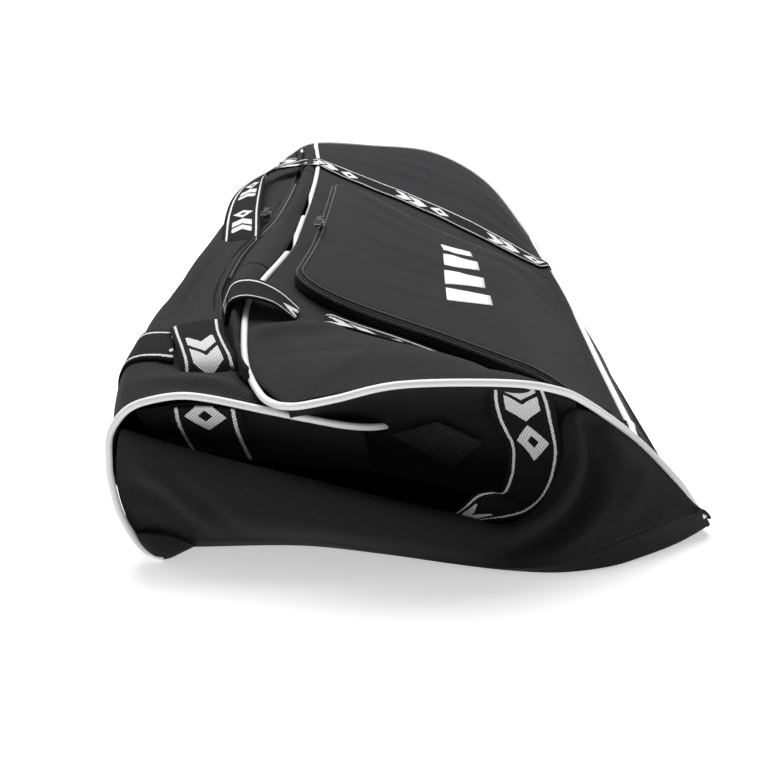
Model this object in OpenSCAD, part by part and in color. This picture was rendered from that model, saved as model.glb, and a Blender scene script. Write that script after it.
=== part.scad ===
// Soft hockey and skate duffel bag, empty and collapsed on its base.
// Millimetres. +X is the right side, +Y runs from the near end to the far end, +Z is up.
// The origin is the middle of the base's footprint, on the floor.
//
// Every fabric panel is a thin sheet stretched between named seam lines. A seam line is a list
// of points, one for each station, from the near end (station 0) to the far end (station 10).

/* [Fabric] */
// Thickness of the lined, foam-backed panels
shell_thickness = 3; // [2:0.5:4]
// Radius of the piping cord sewn into the seams
piping_radius = 3; // [2:0.5:4]
// Distance from a piped seam line to the edge of the panel beside it
seam_inset = 4.4; // [3.3:0.1:6]
// Thickness of the stiff base board
base_thickness = 4; // [3:0.5:6]

/* [Webbing] */
// Width of the carrying webbing
webbing_width = 50; // [38:1:55]
// Thickness of the webbing
webbing_thickness = 2; // [1.5:0.5:3]
// Height of a sewn strap above the panel under it
webbing_lift = 0.8; // [0.3:0.1:1]

/* [Pocket] */
// Height of the pocket's front above the side panel
pocket_depth = 15; // [10:1:25]
// Thickness of the pocket's gusset and front
pocket_wall = 2.4; // [1.5:0.1:4]
// Width of the zip tape around the pocket's front
pocket_tape = 10; // [8:1:14]

/* [Zips] */
// Width of a zip slider
slider_width = 9; // [7:0.5:12]
// Length of a zip slider
slider_length = 14; // [10:1:20]
// Height of a zip slider
slider_height = 4; // [3:0.5:6]
// Length of a zip puller
puller_length = 34; // [20:1:45]

/* [Hidden] */
// Facets across and along a sheet, and around a cord
across_steps = 10;
cord_sides = 6;
$fn = 24;
// Step for measuring a sheet's direction
nudge = 0.02;

// Seam lines, [x, y, z] at stations 0 to 10.

// Piped ridge between the right side and the top, the highest line of the bag
ridge = [
  [-94, -438, 120], [-120, -388, 137], [-131, -318, 142], [-133, -262, 146],
  [-129, -215, 148], [-126, -110, 152], [-124, 20, 157], [-121, 190, 164],
  [-121, 270, 168], [-125, 360, 170], [-130, 437, 171]];

// Three lines down the right side panel, between the ridge and the lower piping
right_upper = [
  [-18, -447, 140], [-42, -392, 146], [-66, -318, 141], [-62, -272, 123],
  [-60, -240, 126], [-55, -120, 134], [-50, 0, 140], [-48, 140, 146],
  [-50, 215, 149], [-52, 350, 164], [-60, 444, 168]];
right_middle = [
  [48, -440, 139], [22, -402, 144], [0, -352, 136], [8, -312, 112],
  [8, -280, 113], [10, -150, 117], [18, -30, 121], [20, 110, 124],
  [20, 168, 127], [22, 330, 152], [30, 445, 158]];
right_lower = [
  [110, -412, 114], [96, -402, 119], [78, -385, 112], [80, -352, 98],
  [80, -322, 98], [80, -190, 99], [85, -60, 101], [90, 80, 103],
  [90, 155, 104], [98, 290, 124], [105, 420, 120]];

// Piped line between the right side panel and the lower wrap
lower_seam = [
  [149, -392, 80], [150, -376, 80], [151, -370, 80], [151, -363, 79],
  [151, -354, 78], [152, -250, 78], [155, -100, 78], [155, 40, 78],
  [154, 148, 78], [156, 260, 66], [165, 380, 50]];

// Middle and floor edge of the lower wrap
wrap_middle = [
  [190, -388, 45], [189, -378, 44], [189, -367, 43], [189, -355, 42],
  [189, -342, 41], [189, -250, 40], [190, -100, 40], [190, 40, 40],
  [189, 148, 40], [189, 260, 38], [188, 383, 30]];
floor_right = [
  [213, -380, 10], [211, -369, 8], [210, -358, 6], [209, -346, 4],
  [208, -332, 3], [206, -250, 2.5], [204, -100, 2.5], [203, 40, 2.5],
  [201, 148, 2.5], [198, 260, 2.5], [190, 385, 2.5]];

// Left side: floor edge, bulge, shoulder, crown and the edge beside the main zip
floor_left = [
  [-192, -422, 1], [-198, -385, 1], [-200, -318, 1], [-200, -262, 1],
  [-200, -215, 1], [-200, -110, 1], [-199, 0, 1], [-197, 190, 1],
  [-195, 270, 1], [-192, 360, 1], [-186, 430, 1]];
left_bulge = [
  [-211.5, -428, 70], [-212, -385, 68], [-212, -318, 68], [-212, -262, 68],
  [-211, -215, 68], [-210, -110, 69], [-209, 0, 70], [-207, 190, 72],
  [-206, 270, 74], [-203, 360, 75], [-196, 432, 72]];
left_shoulder = [
  [-196, -418, 118], [-206, -385, 119], [-207, -318, 121], [-207, -262, 123],
  [-205, -215, 125], [-202, -110, 130], [-199, 0, 134], [-194, 190, 142],
  [-191, 270, 145], [-186, 360, 146], [-178, 432, 142]];
left_crown = [
  [-145, -425, 119], [-172, -385, 128], [-184, -318, 134], [-190, -262, 135],
  [-192, -215, 137], [-187, -110, 142], [-177, 0, 148], [-173, 190, 154],
  [-171, 270, 157], [-169, 360, 160], [-168, 436, 158]];
groove = [
  [-98, -421, 107], [-140, -385, 127], [-160, -318, 135], [-170, -262, 138],
  [-174, -215, 140], [-168, -110, 144], [-150, 0, 150], [-150, 190, 155],
  [-149, 270, 159], [-150, 360, 163], [-158, 436, 165]];

right_side = [ridge, right_upper, right_middle, right_lower, lower_seam];
right_wrap = [lower_seam, wrap_middle, floor_right];
left_side = [floor_left, left_bulge, left_shoulder, left_crown, groove];
// The top strip is rolled, so its middle line stands above the straight line between its edges
strip_rise = 5;
strip_middle = [for (k = [0 : len(ridge) - 1])
  (ridge[k] + groove[k]) / 2 + [0, 0, strip_rise]];
top_strip = [groove, strip_middle, ridge];

// Collapsed near end: each line runs from left to right across the end
recess_top = [
  [-192, -408, 108], [-145, -414, 110], [-92, -414, 98], [-20, -436, 130],
  [25, -432, 131], [62, -426, 126], [90, -416, 110]];
recess_back = [
  [-188, -396, 85], [-142, -385, 76], [-85, -372, 70], [-20, -368, 68],
  [28, -370, 66], [70, -385, 66], [94, -404, 78]];
recess_lip = [
  [-200, -421, 92], [-150, -433, 82], [-82, -435, 66], [-20, -434, 50],
  [25, -430, 41], [66, -427, 47], [92, -421, 68]];
recess = [recess_lip, recess_back, recess_top];

lip_edge = [
  [-206, -429, 92], [-150, -440, 82], [-82, -442, 66], [-20, -441, 50],
  [25, -438, 40], [70, -435, 46], [98, -430, 68], [108, -420, 104],
  [146, -398, 76], [184, -393, 44]];
end_seam = [
  [-190, -426, 5], [-142, -434, 5], [-82, -438, 5], [-26, -440, 6],
  [25, -440, 8], [74, -437, 12], [112, -428, 16], [140, -418, 18],
  [170, -402, 18], [196, -390, 15]];
near_lower = [lip_edge, end_seam];

// Far end: its top edge runs along the inside of the far piping
far_top = [
  [-191, 428, 80], [-176, 430, 134], [-158, 433, 155], [-130, 434, 164],
  [-60, 440, 160], [30, 441, 150], [100, 417, 112], [157, 380, 45]];
far_bottom = [
  [-181, 427, 5], [-160, 430, 5], [-130, 432, 5], [-90, 434, 5],
  [-40, 436, 5], [25, 434, 5], [95, 412, 5], [150, 382, 5]];
far_end = [far_bottom, far_top];

// Piping paths around the two ends
near_left_path = [
  floor_left[0] + [0, 0, 3], [-205, -425, 35], left_bulge[0], [-211, -427, 98],
  left_shoulder[0], left_crown[0], [-98, -421, 104], [-45, -407, 92]];
near_right_path = [
  ridge[0], right_upper[0], right_middle[0], right_lower[0],
  lower_seam[0], wrap_middle[0], floor_right[0]];
far_path = [
  floor_left[10] + [0, 0, 3], left_bulge[10], left_shoulder[10], left_crown[10],
  ridge[10], right_upper[10], right_middle[10], right_lower[10],
  lower_seam[10], wrap_middle[10], floor_right[10] + [0, 0, 2]];

// Base board, just inside the floor edges
base_outline = [
  [-187, -420], [-140, -428], [-82, -432], [-25, -434], [25, -434], [74, -431],
  [112, -421], [150, -404], [196, -372], [200, -250], [198, -100], [197, 40],
  [194, 148], [191, 260], [184, 376], [150, 376], [95, 404], [25, 426],
  [-40, 428], [-90, 426], [-180, 421], [-187, 360], [-190, 270], [-193, 0],
  [-194, -215], [-194, -318]];

// Stations along the bag
near_strap_station = 3;
far_strap_station = 8;
left_near_station = 1.6;
left_far_station = 8.6;
flap_from = 4.3;
flap_to = 7.05;
pocket_from = 3.8;
pocket_to = 7.62;

// Pocket limits across the side panel, 0 at the ridge and 1 at the lower seam
pocket_top = 0.075;
pocket_hem = 0.95;
pocket_corner_stations = 0.45;
pocket_corner_across = 0.16;
// From here to the hem the pocket thins down to the panel
pocket_taper_from = 0.72;
pocket_hem_depth = 4;

// Where the sliders rest, and the directions that they run in
pocket_slider_at = [-94.8, -70, 163.6];
pocket_run = [4.3, 240, 10.4];
main_slider_at = [-156.5, 20, 153.8];
main_run = [0, 160, 5];

// Curve through the points of one line, at a station that may fall between two of them
function smooth(a, b, c, d, t) =
  0.5 * (2 * b + (c - a) * t + (2 * a - 5 * b + 4 * c - d) * t * t
    + (3 * b - a - 3 * c + d) * t * t * t);
function line_at(points, station) =
  let (last = len(points) - 1,
       s = max(0, min(last, station)),
       k = min(last - 1, floor(s)),
       before = k > 0 ? points[k - 1] : 2 * points[0] - points[1],
       after = k + 2 <= last ? points[k + 2] : 2 * points[last] - points[last - 1])
  smooth(before, points[k], points[k + 1], after, s - k);

// Point of a sheet held by several lines: station along it, and part 0 to 1 across it
function sheet_at(lines, station, part) =
  line_at([for (points = lines) line_at(points, station)], part * (len(lines) - 1));

function unit(v) = v / max(norm(v), 0.001);
function normal_at(lines, station, part) =
  let (last = len(lines[0]) - 1,
       s = max(nudge, min(last - nudge, station)),
       p = max(nudge, min(1 - nudge, part)),
       along = sheet_at(lines, s + nudge, p) - sheet_at(lines, s - nudge, p),
       over = sheet_at(lines, s, p + nudge) - sheet_at(lines, s, p - nudge))
  unit(cross(along, over));
function lifted(lines, station, part, height) =
  sheet_at(lines, station, part) + height * normal_at(lines, station, part);

// Millimetres along one station, and the share of the width that an inset takes
function station_length(lines, station, part) =
  norm(sheet_at(lines, station + 0.1, part) - sheet_at(lines, station - 0.1, part)) / 0.2;
function width_at(lines, station) =
  let (steps = 8)
  [for (k = 0, total = 0; k <= steps;
        total = total + (k < steps ? norm(sheet_at(lines, station, (k + 1) / steps)
                                   - sheet_at(lines, station, k / steps)) : 0),
        k = k + 1) total][steps];

// Closed solid between two grids of points, rows along and columns across
module slab(upper, lower) {
  rows = len(upper) - 1;
  columns = len(upper[0]) - 1;
  count = (rows + 1) * (columns + 1);
  function at(side, i, j) = side * count + i * (columns + 1) + j;
  function two(a, b, c, d) = [[a, b, c], [a, c, d]];
  points = [for (grid = [upper, lower]) for (row = grid) for (p = row) p];
  faces = [
    for (i = [0 : rows - 1]) for (j = [0 : columns - 1])
      for (f = concat(
        two(at(0, i, j), at(0, i, j + 1), at(0, i + 1, j + 1), at(0, i + 1, j)),
        two(at(1, i, j), at(1, i + 1, j), at(1, i + 1, j + 1), at(1, i, j + 1)))) f,
    for (j = [0 : columns - 1])
      for (f = concat(
        two(at(0, 0, j + 1), at(0, 0, j), at(1, 0, j), at(1, 0, j + 1)),
        two(at(0, rows, j), at(0, rows, j + 1), at(1, rows, j + 1), at(1, rows, j)))) f,
    for (i = [0 : rows - 1])
      for (f = concat(
        two(at(0, i, 0), at(0, i + 1, 0), at(1, i + 1, 0), at(1, i, 0)),
        two(at(0, i + 1, columns), at(0, i, columns),
            at(1, i, columns), at(1, i + 1, columns)))) f];
  polyhedron(points = points, faces = faces, convexity = 8);
}

// Sheet over a stretch of stations, inset from the lines at its two long edges.
// face is 1 where the sheet's direction points out of the bag, and -1 where it points in.
module sheet(lines, from, to, steps, inset_a, inset_b, thickness, face = 1, columns = across_steps) {
  stations = [for (i = [0 : steps]) from + (to - from) * i / steps];
  function part(station, j) =
    let (width = width_at(lines, station), a = inset_a / width, b = 1 - inset_b / width)
    a + (b - a) * j / columns;
  function grid(height) =
    [for (s = stations) [for (j = [0 : columns]) lifted(lines, s, part(s, j), height)]];
  slab(face > 0 ? grid(0) : grid(thickness), face > 0 ? grid(-thickness) : grid(0));
}

// Webbing sewn across a panel at one station, as wide as the webbing all the way
module strap(lines, station, from, to, steps, face = 1, width = webbing_width,
             lift = webbing_lift) {
  columns = 2;
  function place(part, j) =
    station + (j / columns - 0.5) * width / station_length(lines, station, part);
  function grid(height) =
    [for (i = [0 : steps])
      let (part = from + (to - from) * i / steps)
      [for (j = [0 : columns]) lifted(lines, place(part, j), part, face * height)]];
  top = lift + webbing_thickness;
  slab(face > 0 ? grid(lift) : grid(top), face > 0 ? grid(top) : grid(lift));
}

// Round cord along a path
module cord(path, from, to, steps, radius = piping_radius) {
  function centre(s) = line_at(path, s);
  function aim(s) = unit(centre(s + 0.05) - centre(s - 0.05));
  function sideways(s) = unit(cross(aim(s), abs(aim(s)[1]) > 0.8 ? [0, 0, 1] : [0, 1, 0]));
  stations = [for (i = [0 : steps]) from + (to - from) * i / steps];
  points = [for (s = stations) for (k = [0 : cord_sides - 1])
    let (a = 360 * k / cord_sides, side = sideways(s), rise = cross(side, aim(s)))
    centre(s) + radius * (cos(a) * side + sin(a) * rise)];
  ring = [for (k = [0 : cord_sides - 1]) k];
  faces = concat(
    [ring],
    [[for (k = ring) steps * cord_sides + cord_sides - 1 - k]],
    [for (i = [0 : steps - 1]) for (k = ring) for (half = [0, 1])
      let (next = (k + 1) % cord_sides, a = i * cord_sides, b = a + cord_sides)
      half == 0 ? [a + k, b + k, b + next] : [a + k, b + next, a + next]]);
  polyhedron(points = points, faces = faces, convexity = 8);
}

// Flat band that follows a path, with its width laid between an inner and an outer edge
module band(inner, outer, steps, thickness = webbing_thickness) {
  last = len(inner) - 1;
  function edge(points, i) = line_at(points, last * i / steps);
  low = [for (i = [0 : steps]) let (a = edge(inner, i), b = edge(outer, i)) [a, (a + b) / 2, b]];
  high = [for (row = low) [for (p = row) p + [0, 0, thickness]]];
  slab(low, high);
}

// ---- Panels ----

module bottom_panel() {
  color([0.10, 0.10, 0.11])
  linear_extrude(height = base_thickness) polygon(base_outline);
}

module side_panel_right() {
  color([0.16, 0.16, 0.17])
  sheet(right_side, 0.32, 9.93, 26, seam_inset, seam_inset, shell_thickness, -1);
}

module side_panel_left() {
  zip_margin = 26;
  color([0.14, 0.14, 0.15])
  sheet(left_side, 0.12, 9.93, 22, 0, zip_margin, shell_thickness, -1, 12);
}

module lower_wrap_right() {
  color([0.12, 0.12, 0.13])
  sheet(right_wrap, 0.6, 9.9, 18, seam_inset, 0, shell_thickness, -1, 5);
}

module top_strip_piece(from, to, steps) {
  zip_inset = 5;
  color([0.20, 0.20, 0.22])
  sheet(top_strip, from, to, steps, zip_inset, 4.5, shell_thickness - 0.5, -1, 4);
}
strip_break = 0.04;
module top_strip_near() { top_strip_piece(0.95, flap_from - strip_break, 7); }
module top_flap() { top_strip_piece(flap_from, flap_to, 9); }
module top_strip_far() { top_strip_piece(flap_to + strip_break, 9.9, 6); }

module end_panel_near_inner() {
  color([0.08, 0.08, 0.09])
  sheet(recess, 0.05, 5.95, 14, 0, 0, shell_thickness - 1, -1, 8);
}

module end_panel_near_lower() {
  color([0.15, 0.15, 0.16])
  sheet(near_lower, 0, 9, 18, 0, 0, shell_thickness - 1, -1, 3);
}

module end_panel_far() {
  color([0.15, 0.15, 0.16])
  sheet(far_end, 0, 7, 14, 0, 0, shell_thickness, 1, 3);
}

// ---- Piping ----

// The left cord stops where it dips under the right side of the opening
module piping_near_left() { color("white") cord(near_left_path, 0, 6.1, 25); }
module piping_near_right() { color("white") cord(near_right_path, 0.02, 6, 26); }
module piping_far() { color("white") cord(far_path, 0, 10, 34); }
module piping_ridge() { color("white") cord(ridge, 0.14, 9.9, 34); }
module piping_lower_right() { color("white") cord(lower_seam, 0.9, 9.93, 20); }

// ---- Sewn straps ----

module strap_right_near() {
  color([0.3, 0.3, 0.33]) strap(right_side, near_strap_station, 0.035, 0.74, 14, -1);
}
module strap_right_far() {
  color([0.3, 0.3, 0.33]) strap(right_side, far_strap_station, 0.035, 0.975, 14, -1);
}
module strap_left_near() {
  color([0.3, 0.3, 0.33]) strap(left_side, left_near_station, 0.02, 0.52, 10, -1);
}
module strap_left_far() {
  color([0.3, 0.3, 0.33]) strap(left_side, left_far_station, 0.02, 0.66, 12, -1);
}
// The straps inside the opening hang a little off the cloth behind them
end_strap_lift = 2.2;
module end_strap_left() {
  color([0.35, 0.35, 0.38])
  strap(recess, 1, 0.5, 0.93, 6, -1, lift = end_strap_lift);
}
module end_strap_right() {
  color([0.35, 0.35, 0.38])
  strap(recess, 4.8, 0.12, 0.93, 10, -1, lift = end_strap_lift + 1);
}
module mesh_vent() {
  vent_width = 60;
  color([0.25, 0.25, 0.28]) strap(recess, 3.35, 0.5, 0.8, 5, -1, vent_width);
}

// ---- Pocket ----

// Height of the pocket's front above the panel, thinner towards the hem
function pocket_height(part) =
  let (t = max(0, min(1, (part - pocket_taper_from) / (pocket_hem - pocket_taper_from))))
  pocket_depth + (pocket_hem_depth - pocket_depth) * t * t * (3 - 2 * t);

// Near and far edge of the pocket at one part across the panel, with rounded upper corners
function pocket_round(part) =
  let (t = max(0, min(1, (pocket_top + pocket_corner_across - part) / pocket_corner_across)))
  pocket_corner_stations * (1 - sqrt(1 - t * t));
function pocket_edge(part, side) =
  side < 0 ? pocket_from + pocket_round(part) : pocket_to - pocket_round(part);

// Outline of the pocket: up the near edge, along the top and down the far edge
pocket_rows = 9;
pocket_columns = 12;
function pocket_part(j) =
  let (t = j / pocket_rows) pocket_top + (pocket_hem - pocket_top) * t * t;
pocket_outline = concat(
  [for (j = [pocket_rows : -1 : 0]) [pocket_edge(pocket_part(j), -1), pocket_part(j)]],
  [for (i = [1 : pocket_columns - 1])
    [pocket_edge(pocket_top, -1)
      + (pocket_edge(pocket_top, 1) - pocket_edge(pocket_top, -1)) * i / pocket_columns,
     pocket_top]],
  [for (j = [0 : pocket_rows]) [pocket_edge(pocket_part(j), 1), pocket_part(j)]]);

function ring_point(k, height) =
  lifted(right_side, pocket_outline[k][0], pocket_outline[k][1], -height);
function ring_inward(k) =
  let (last = len(pocket_outline) - 1,
       a = ring_point(max(0, k - 1), 0),
       b = ring_point(min(last, k + 1), 0),
       n = -normal_at(right_side, pocket_outline[k][0], pocket_outline[k][1]))
  unit(cross(unit(b - a), n));
// Wall or tape that follows the outline, between two insets and two heights
module pocket_ring(inset_a, inset_b, low, high) {
  function row(k, inset) =
    [ring_point(k, low(k)) + inset * ring_inward(k),
     ring_point(k, high(k)) + inset * ring_inward(k)];
  ks = [0 : len(pocket_outline) - 1];
  slab([for (k = ks) row(k, inset_b)], [for (k = ks) row(k, inset_a)]);
}

module pocket_gusset() {
  color([0.10, 0.10, 0.11])
  pocket_ring(0, pocket_wall,
    function (k) webbing_lift,
    function (k) pocket_height(pocket_outline[k][1]) - pocket_wall - 0.3);
}

module pocket_zip() {
  color([0.4, 0.4, 0.44])
  pocket_ring(0, pocket_tape,
    function (k) pocket_height(pocket_outline[k][1]) - pocket_wall,
    function (k) pocket_height(pocket_outline[k][1]));
}

// Front of the pocket: a sheet inside the zip tape, which opens about its hem
face_inset = 11.5;
face_columns = 14;
face_top = pocket_top + 0.044;
// Stations between the side edges of the front and its next columns of points
face_near_step = 0.3;
face_far_step = 0.44;
// Share of its last row by which the front stops short of the hem
hem_gap = 0.08;
function face_part(j) =
  let (t = min(j, pocket_rows - hem_gap) / pocket_rows)
  face_top + (pocket_hem - face_top) * t * t;
// Side edge of the front at one row: 0 is the hem end of the outline on that side
function face_side(k, next, j, height) =
  let (a = ring_point(k, pocket_height(pocket_outline[k][1]) + height)
         + face_inset * ring_inward(k),
       b = ring_point(next, pocket_height(pocket_outline[next][1]) + height)
         + face_inset * ring_inward(next))
  j == pocket_rows ? a + (b - a) * hem_gap : a;
function face_point(i, j, height) =
  let (near = pocket_rows - j,
       far = pocket_rows + pocket_columns + j,
       part = face_part(j),
       a = pocket_edge(part, -1) + face_near_step,
       b = pocket_edge(part, 1) - face_far_step)
  i == 0 ? face_side(near, near + 1, j, height)
  : i == face_columns ? face_side(far, far - 1, j, height)
  : lifted(right_side, a + (b - a) * (i - 1) / (face_columns - 2), part,
           -(pocket_height(part) + height));
module pocket_face() {
  function grid(height) =
    [for (i = [0 : face_columns]) [for (j = [0 : pocket_rows]) face_point(i, j, height)]];
  color([0.22, 0.22, 0.24]) slab(grid(0), grid(-pocket_wall));
}

// Printed mark, a thin plate that runs along the middle of the front
module pocket_print() {
  from = [4.75, 0.51];
  to = [6.15, 0.65];
  ink_low = 1;
  ink_high = 1.6;
  function grid(height) =
    [for (i = [0 : 7]) [for (j = [0 : 2])
      let (part = from[1] + (to[1] - from[1]) * j / 2)
      lifted(right_side, from[0] + (to[0] - from[0]) * i / 7, part,
             -(pocket_height(part) + height))]];
  color("white") slab(grid(ink_high), grid(ink_low));
}

// ---- Zips ----

// Zip slider around a coil: two shoulders, a waist and a bridge for the puller
bridge_rise = 3;
module slider() {
  union() {
    hull() {
      for (end = [-1, 1])
        translate([0, end * (slider_length / 2 - 2), 0])
        cylinder(h = slider_height, r = end < 0 ? slider_width / 2 : slider_width / 3);
    }
    for (end = [-1, 1])
      translate([-1.25, end * 4 - 1, slider_height - 0.5])
      cube([2.5, 2, bridge_rise + 0.5]);
    translate([-1.25, -5, slider_height + bridge_rise - 1.2]) cube([2.5, 10, 1.2]);
  }
}

// Puller that hangs from a bridge at the origin and lies towards the near end
module puller() {
  eye = 3;
  difference() {
    union() {
      translate([-3, -puller_length, -0.8]) cube([6, puller_length - 6, 1.6]);
      translate([-3.5, -puller_length - 2, -1.2]) cube([7, puller_length * 0.55, 2.4]);
      translate([0, -eye - 3.4, -0.8]) cylinder(h = 1.6, r = eye + 1.2);
    }
    translate([0, -eye - 3.4, -2]) cylinder(h = 4, r = eye - 0.8);
  }
}

// Turn a part's +Y to a heading, and set it down at a place
module headed(place, heading) {
  yaw = -atan2(heading[0], heading[1]);
  pitch = atan2(heading[2], norm([heading[0], heading[1]]));
  translate(place) rotate([0, 0, yaw]) rotate([pitch, 0, 0]) children();
}

puller_hinge = [0, 0, slider_height + bridge_rise + 1.4];

module main_zip() {
  color([0.4, 0.4, 0.44])
  slab(
    [for (s = [4.3 : 0.2 : 7.3]) [for (x = [-8.5, -5, -1.5]) line_at(groove, s) + [x, 0, 1.5]]],
    [for (s = [4.3 : 0.2 : 7.3]) [for (x = [-8.5, -5, -1.5]) line_at(groove, s) + [x, 0, -0.5]]]);
}
module main_slider() {
  color([0.6, 0.6, 0.62]) headed(main_slider_at, main_run) slider();
}
module main_puller() {
  color([0.3, 0.3, 0.3]) headed(main_slider_at, main_run) translate(puller_hinge) puller();
}
module pocket_slider() {
  color([0.6, 0.6, 0.62]) headed(pocket_slider_at, pocket_run) slider();
}
module pocket_puller() {
  color([0.3, 0.3, 0.3]) headed(pocket_slider_at, pocket_run) translate(puller_hinge) puller();
}

// ---- Handles ----

// Loop of webbing from the ridge, along the left shoulder and back to the ridge
handle_right_inner = [
  [-142, -241, 150], [-158, -241, 148], [-170, -232, 147], [-176, -212, 147],
  [-176, -110, 150], [-176, 0, 154], [-173, 190, 161], [-168, 226, 164],
  [-158, 240, 166], [-134, 248, 170]];
handle_right_outer = [
  [-142, -284, 149], [-174, -282, 143], [-200, -262, 136], [-213, -220, 132],
  [-213, -110, 135], [-212, 0, 139], [-208, 190, 148], [-200, 260, 151],
  [-172, 286, 160], [-134, 292, 171]];
module handle_right() {
  color([0.32, 0.32, 0.36]) band(handle_right_inner, handle_right_outer, 36);
}

// Slack part of the left grip, folded over towards the near end
handle_left_inner = [[-197, -322, 136], [-180, -322, 139], [-166, -332, 139], [-148, -402, 130]];
handle_left_outer = [[-197, -368, 132], [-191, -368, 134], [-188, -372, 133], [-184, -408, 128]];
module handle_left_near() {
  color([0.32, 0.32, 0.36]) band(handle_left_inner, handle_left_outer, 12);
}

// Rest of the left grip, folded flat on the crown beside the main zip
module handle_left_far() {
  color([0.32, 0.32, 0.36]) strap(left_side, left_far_station, 0.7, 0.92, 5, -1);
}

bottom_panel();
side_panel_left();
side_panel_right();
lower_wrap_right();
top_strip_near();
top_flap();
top_strip_far();
end_panel_near_inner();
end_panel_near_lower();
end_panel_far();
piping_near_left();
piping_near_right();
piping_far();
piping_ridge();
piping_lower_right();
strap_right_near();
strap_right_far();
strap_left_near();
strap_left_far();
end_strap_left();
end_strap_right();
mesh_vent();
pocket_gusset();
pocket_zip();
pocket_face();
pocket_print();
pocket_slider();
pocket_puller();
main_zip();
main_slider();
main_puller();
handle_right();
handle_left_near();
handle_left_far();
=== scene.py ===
"""Skate bag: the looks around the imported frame.

Lengths in the tables are millimetres in the bag's frame: +X right, +Y away from the near end,
+Z up, origin on the floor under the middle. mesh_object() turns them into metres.
Fabric panels are lofted between named seam lines, each a list of points at the same stations.
"""

import math

import bpy
import numpy as np
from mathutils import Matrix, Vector, noise


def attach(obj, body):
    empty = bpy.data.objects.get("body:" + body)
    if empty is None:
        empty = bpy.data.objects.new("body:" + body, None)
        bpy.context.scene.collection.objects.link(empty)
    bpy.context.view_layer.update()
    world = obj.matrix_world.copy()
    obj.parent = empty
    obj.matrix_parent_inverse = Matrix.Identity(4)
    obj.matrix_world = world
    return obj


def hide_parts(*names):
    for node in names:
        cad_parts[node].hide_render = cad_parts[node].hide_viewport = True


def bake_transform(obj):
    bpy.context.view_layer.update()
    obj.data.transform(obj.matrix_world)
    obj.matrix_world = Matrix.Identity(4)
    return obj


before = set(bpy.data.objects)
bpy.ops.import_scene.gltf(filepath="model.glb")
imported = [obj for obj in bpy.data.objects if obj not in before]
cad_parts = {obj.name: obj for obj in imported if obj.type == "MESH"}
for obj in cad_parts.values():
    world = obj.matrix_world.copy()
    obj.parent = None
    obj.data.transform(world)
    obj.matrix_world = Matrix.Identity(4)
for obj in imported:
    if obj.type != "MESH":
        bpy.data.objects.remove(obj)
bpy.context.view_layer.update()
MM = 0.001

# ---------------------------------------------------------------- seam lines

RIDGE = [
    [-97, -437, 121], [-124, -390, 127], [-136, -318, 139], [-138, -262, 147],
    [-132, -215, 149], [-120, -110, 151], [-117, 20, 158], [-117, 150, 164],
    [-121, 270, 169], [-129, 360, 171], [-136, 437, 172]]
RIGHT_UPPER = [
    [-18, -447, 140], [-42, -392, 144], [-66, -318, 136], [-62, -272, 123],
    [-60, -240, 126], [-55, -130, 133], [-50, -20, 139], [-49, 90, 143],
    [-50, 215, 149], [-52, 350, 164], [-60, 444, 168]]
RIGHT_MIDDLE = [
    [48, -440, 139], [22, -402, 142], [0, -352, 131], [8, -312, 112],
    [8, -280, 113], [10, -170, 117], [18, -75, 120], [20, 15, 121],
    [20, 172, 127], [22, 330, 152], [30, 445, 158]]
RIGHT_LOWER = [
    [110, -412, 114], [96, -402, 119], [78, -385, 112], [80, -352, 98],
    [80, -322, 98], [80, -200, 99], [85, -95, 101], [88, -5, 102],
    [90, 118, 103], [98, 290, 124], [105, 420, 120]]
LOWER_SEAM = [
    [149, -392, 80], [150, -376, 80], [151, -370, 80], [151, -363, 79],
    [151, -354, 78], [152, -240, 78], [154, -120, 78], [155, -12, 78],
    [153, 82, 78], [156, 240, 67], [165, 380, 50]]
WRAP_MIDDLE = [
    [183, -388, 45], [181, -378, 44], [180, -367, 43], [180, -355, 42],
    [179, -342, 41], [176, -240, 40], [178, -115, 40], [178, 10, 40],
    [177, 115, 40], [177, 250, 37], [180, 383, 28]]
FLOOR_RIGHT = [
    [212, -384, 6], [208, -371, 5], [205, -358, 4], [203, -346, 4],
    [201, -332, 3], [199, -240, 2.5], [201, -115, 2.5], [203, 10, 2.5],
    [201, 115, 2.5], [198, 250, 2.5], [190, 385, 2.5]]
FLOOR_LEFT = [
    [-190, -425, 1], [-198, -385, 1], [-200, -318, 1], [-200, -262, 1],
    [-200, -215, 1], [-200, -110, 1], [-199, 0, 1], [-197, 190, 1],
    [-195, 270, 1], [-192, 360, 1], [-186, 430, 1]]
LEFT_BULGE = [
    [-216, -427, 68], [-218, -385, 70], [-212, -318, 68], [-212, -262, 68],
    [-211, -215, 68], [-210, -110, 69], [-209, 0, 70], [-207, 190, 72],
    [-206, 270, 74], [-203, 360, 75], [-196, 432, 72]]
LEFT_SHOULDER = [
    [-199, -425, 114], [-214, -385, 120], [-215, -318, 127], [-215, -262, 130],
    [-213, -215, 131], [-210, -110, 136], [-207, 0, 140], [-199, 190, 145],
    [-191, 270, 145], [-186, 360, 146], [-180, 432, 143]]
LEFT_CROWN = [
    [-150, -426, 122], [-172, -385, 128], [-184, -318, 134], [-190, -262, 135],
    [-192, -215, 137], [-187, -110, 142], [-177, 0, 148], [-173, 190, 154],
    [-171, 270, 157], [-169, 360, 160], [-168, 436, 158]]
GROOVE = [
    [-98, -421, 107], [-133, -385, 128], [-151, -318, 137], [-161, -262, 140],
    [-167, -215, 142], [-165, -110, 147], [-147, 0, 155], [-143, 150, 159],
    [-146, 270, 161], [-150, 360, 163], [-158, 436, 165]]

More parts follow.
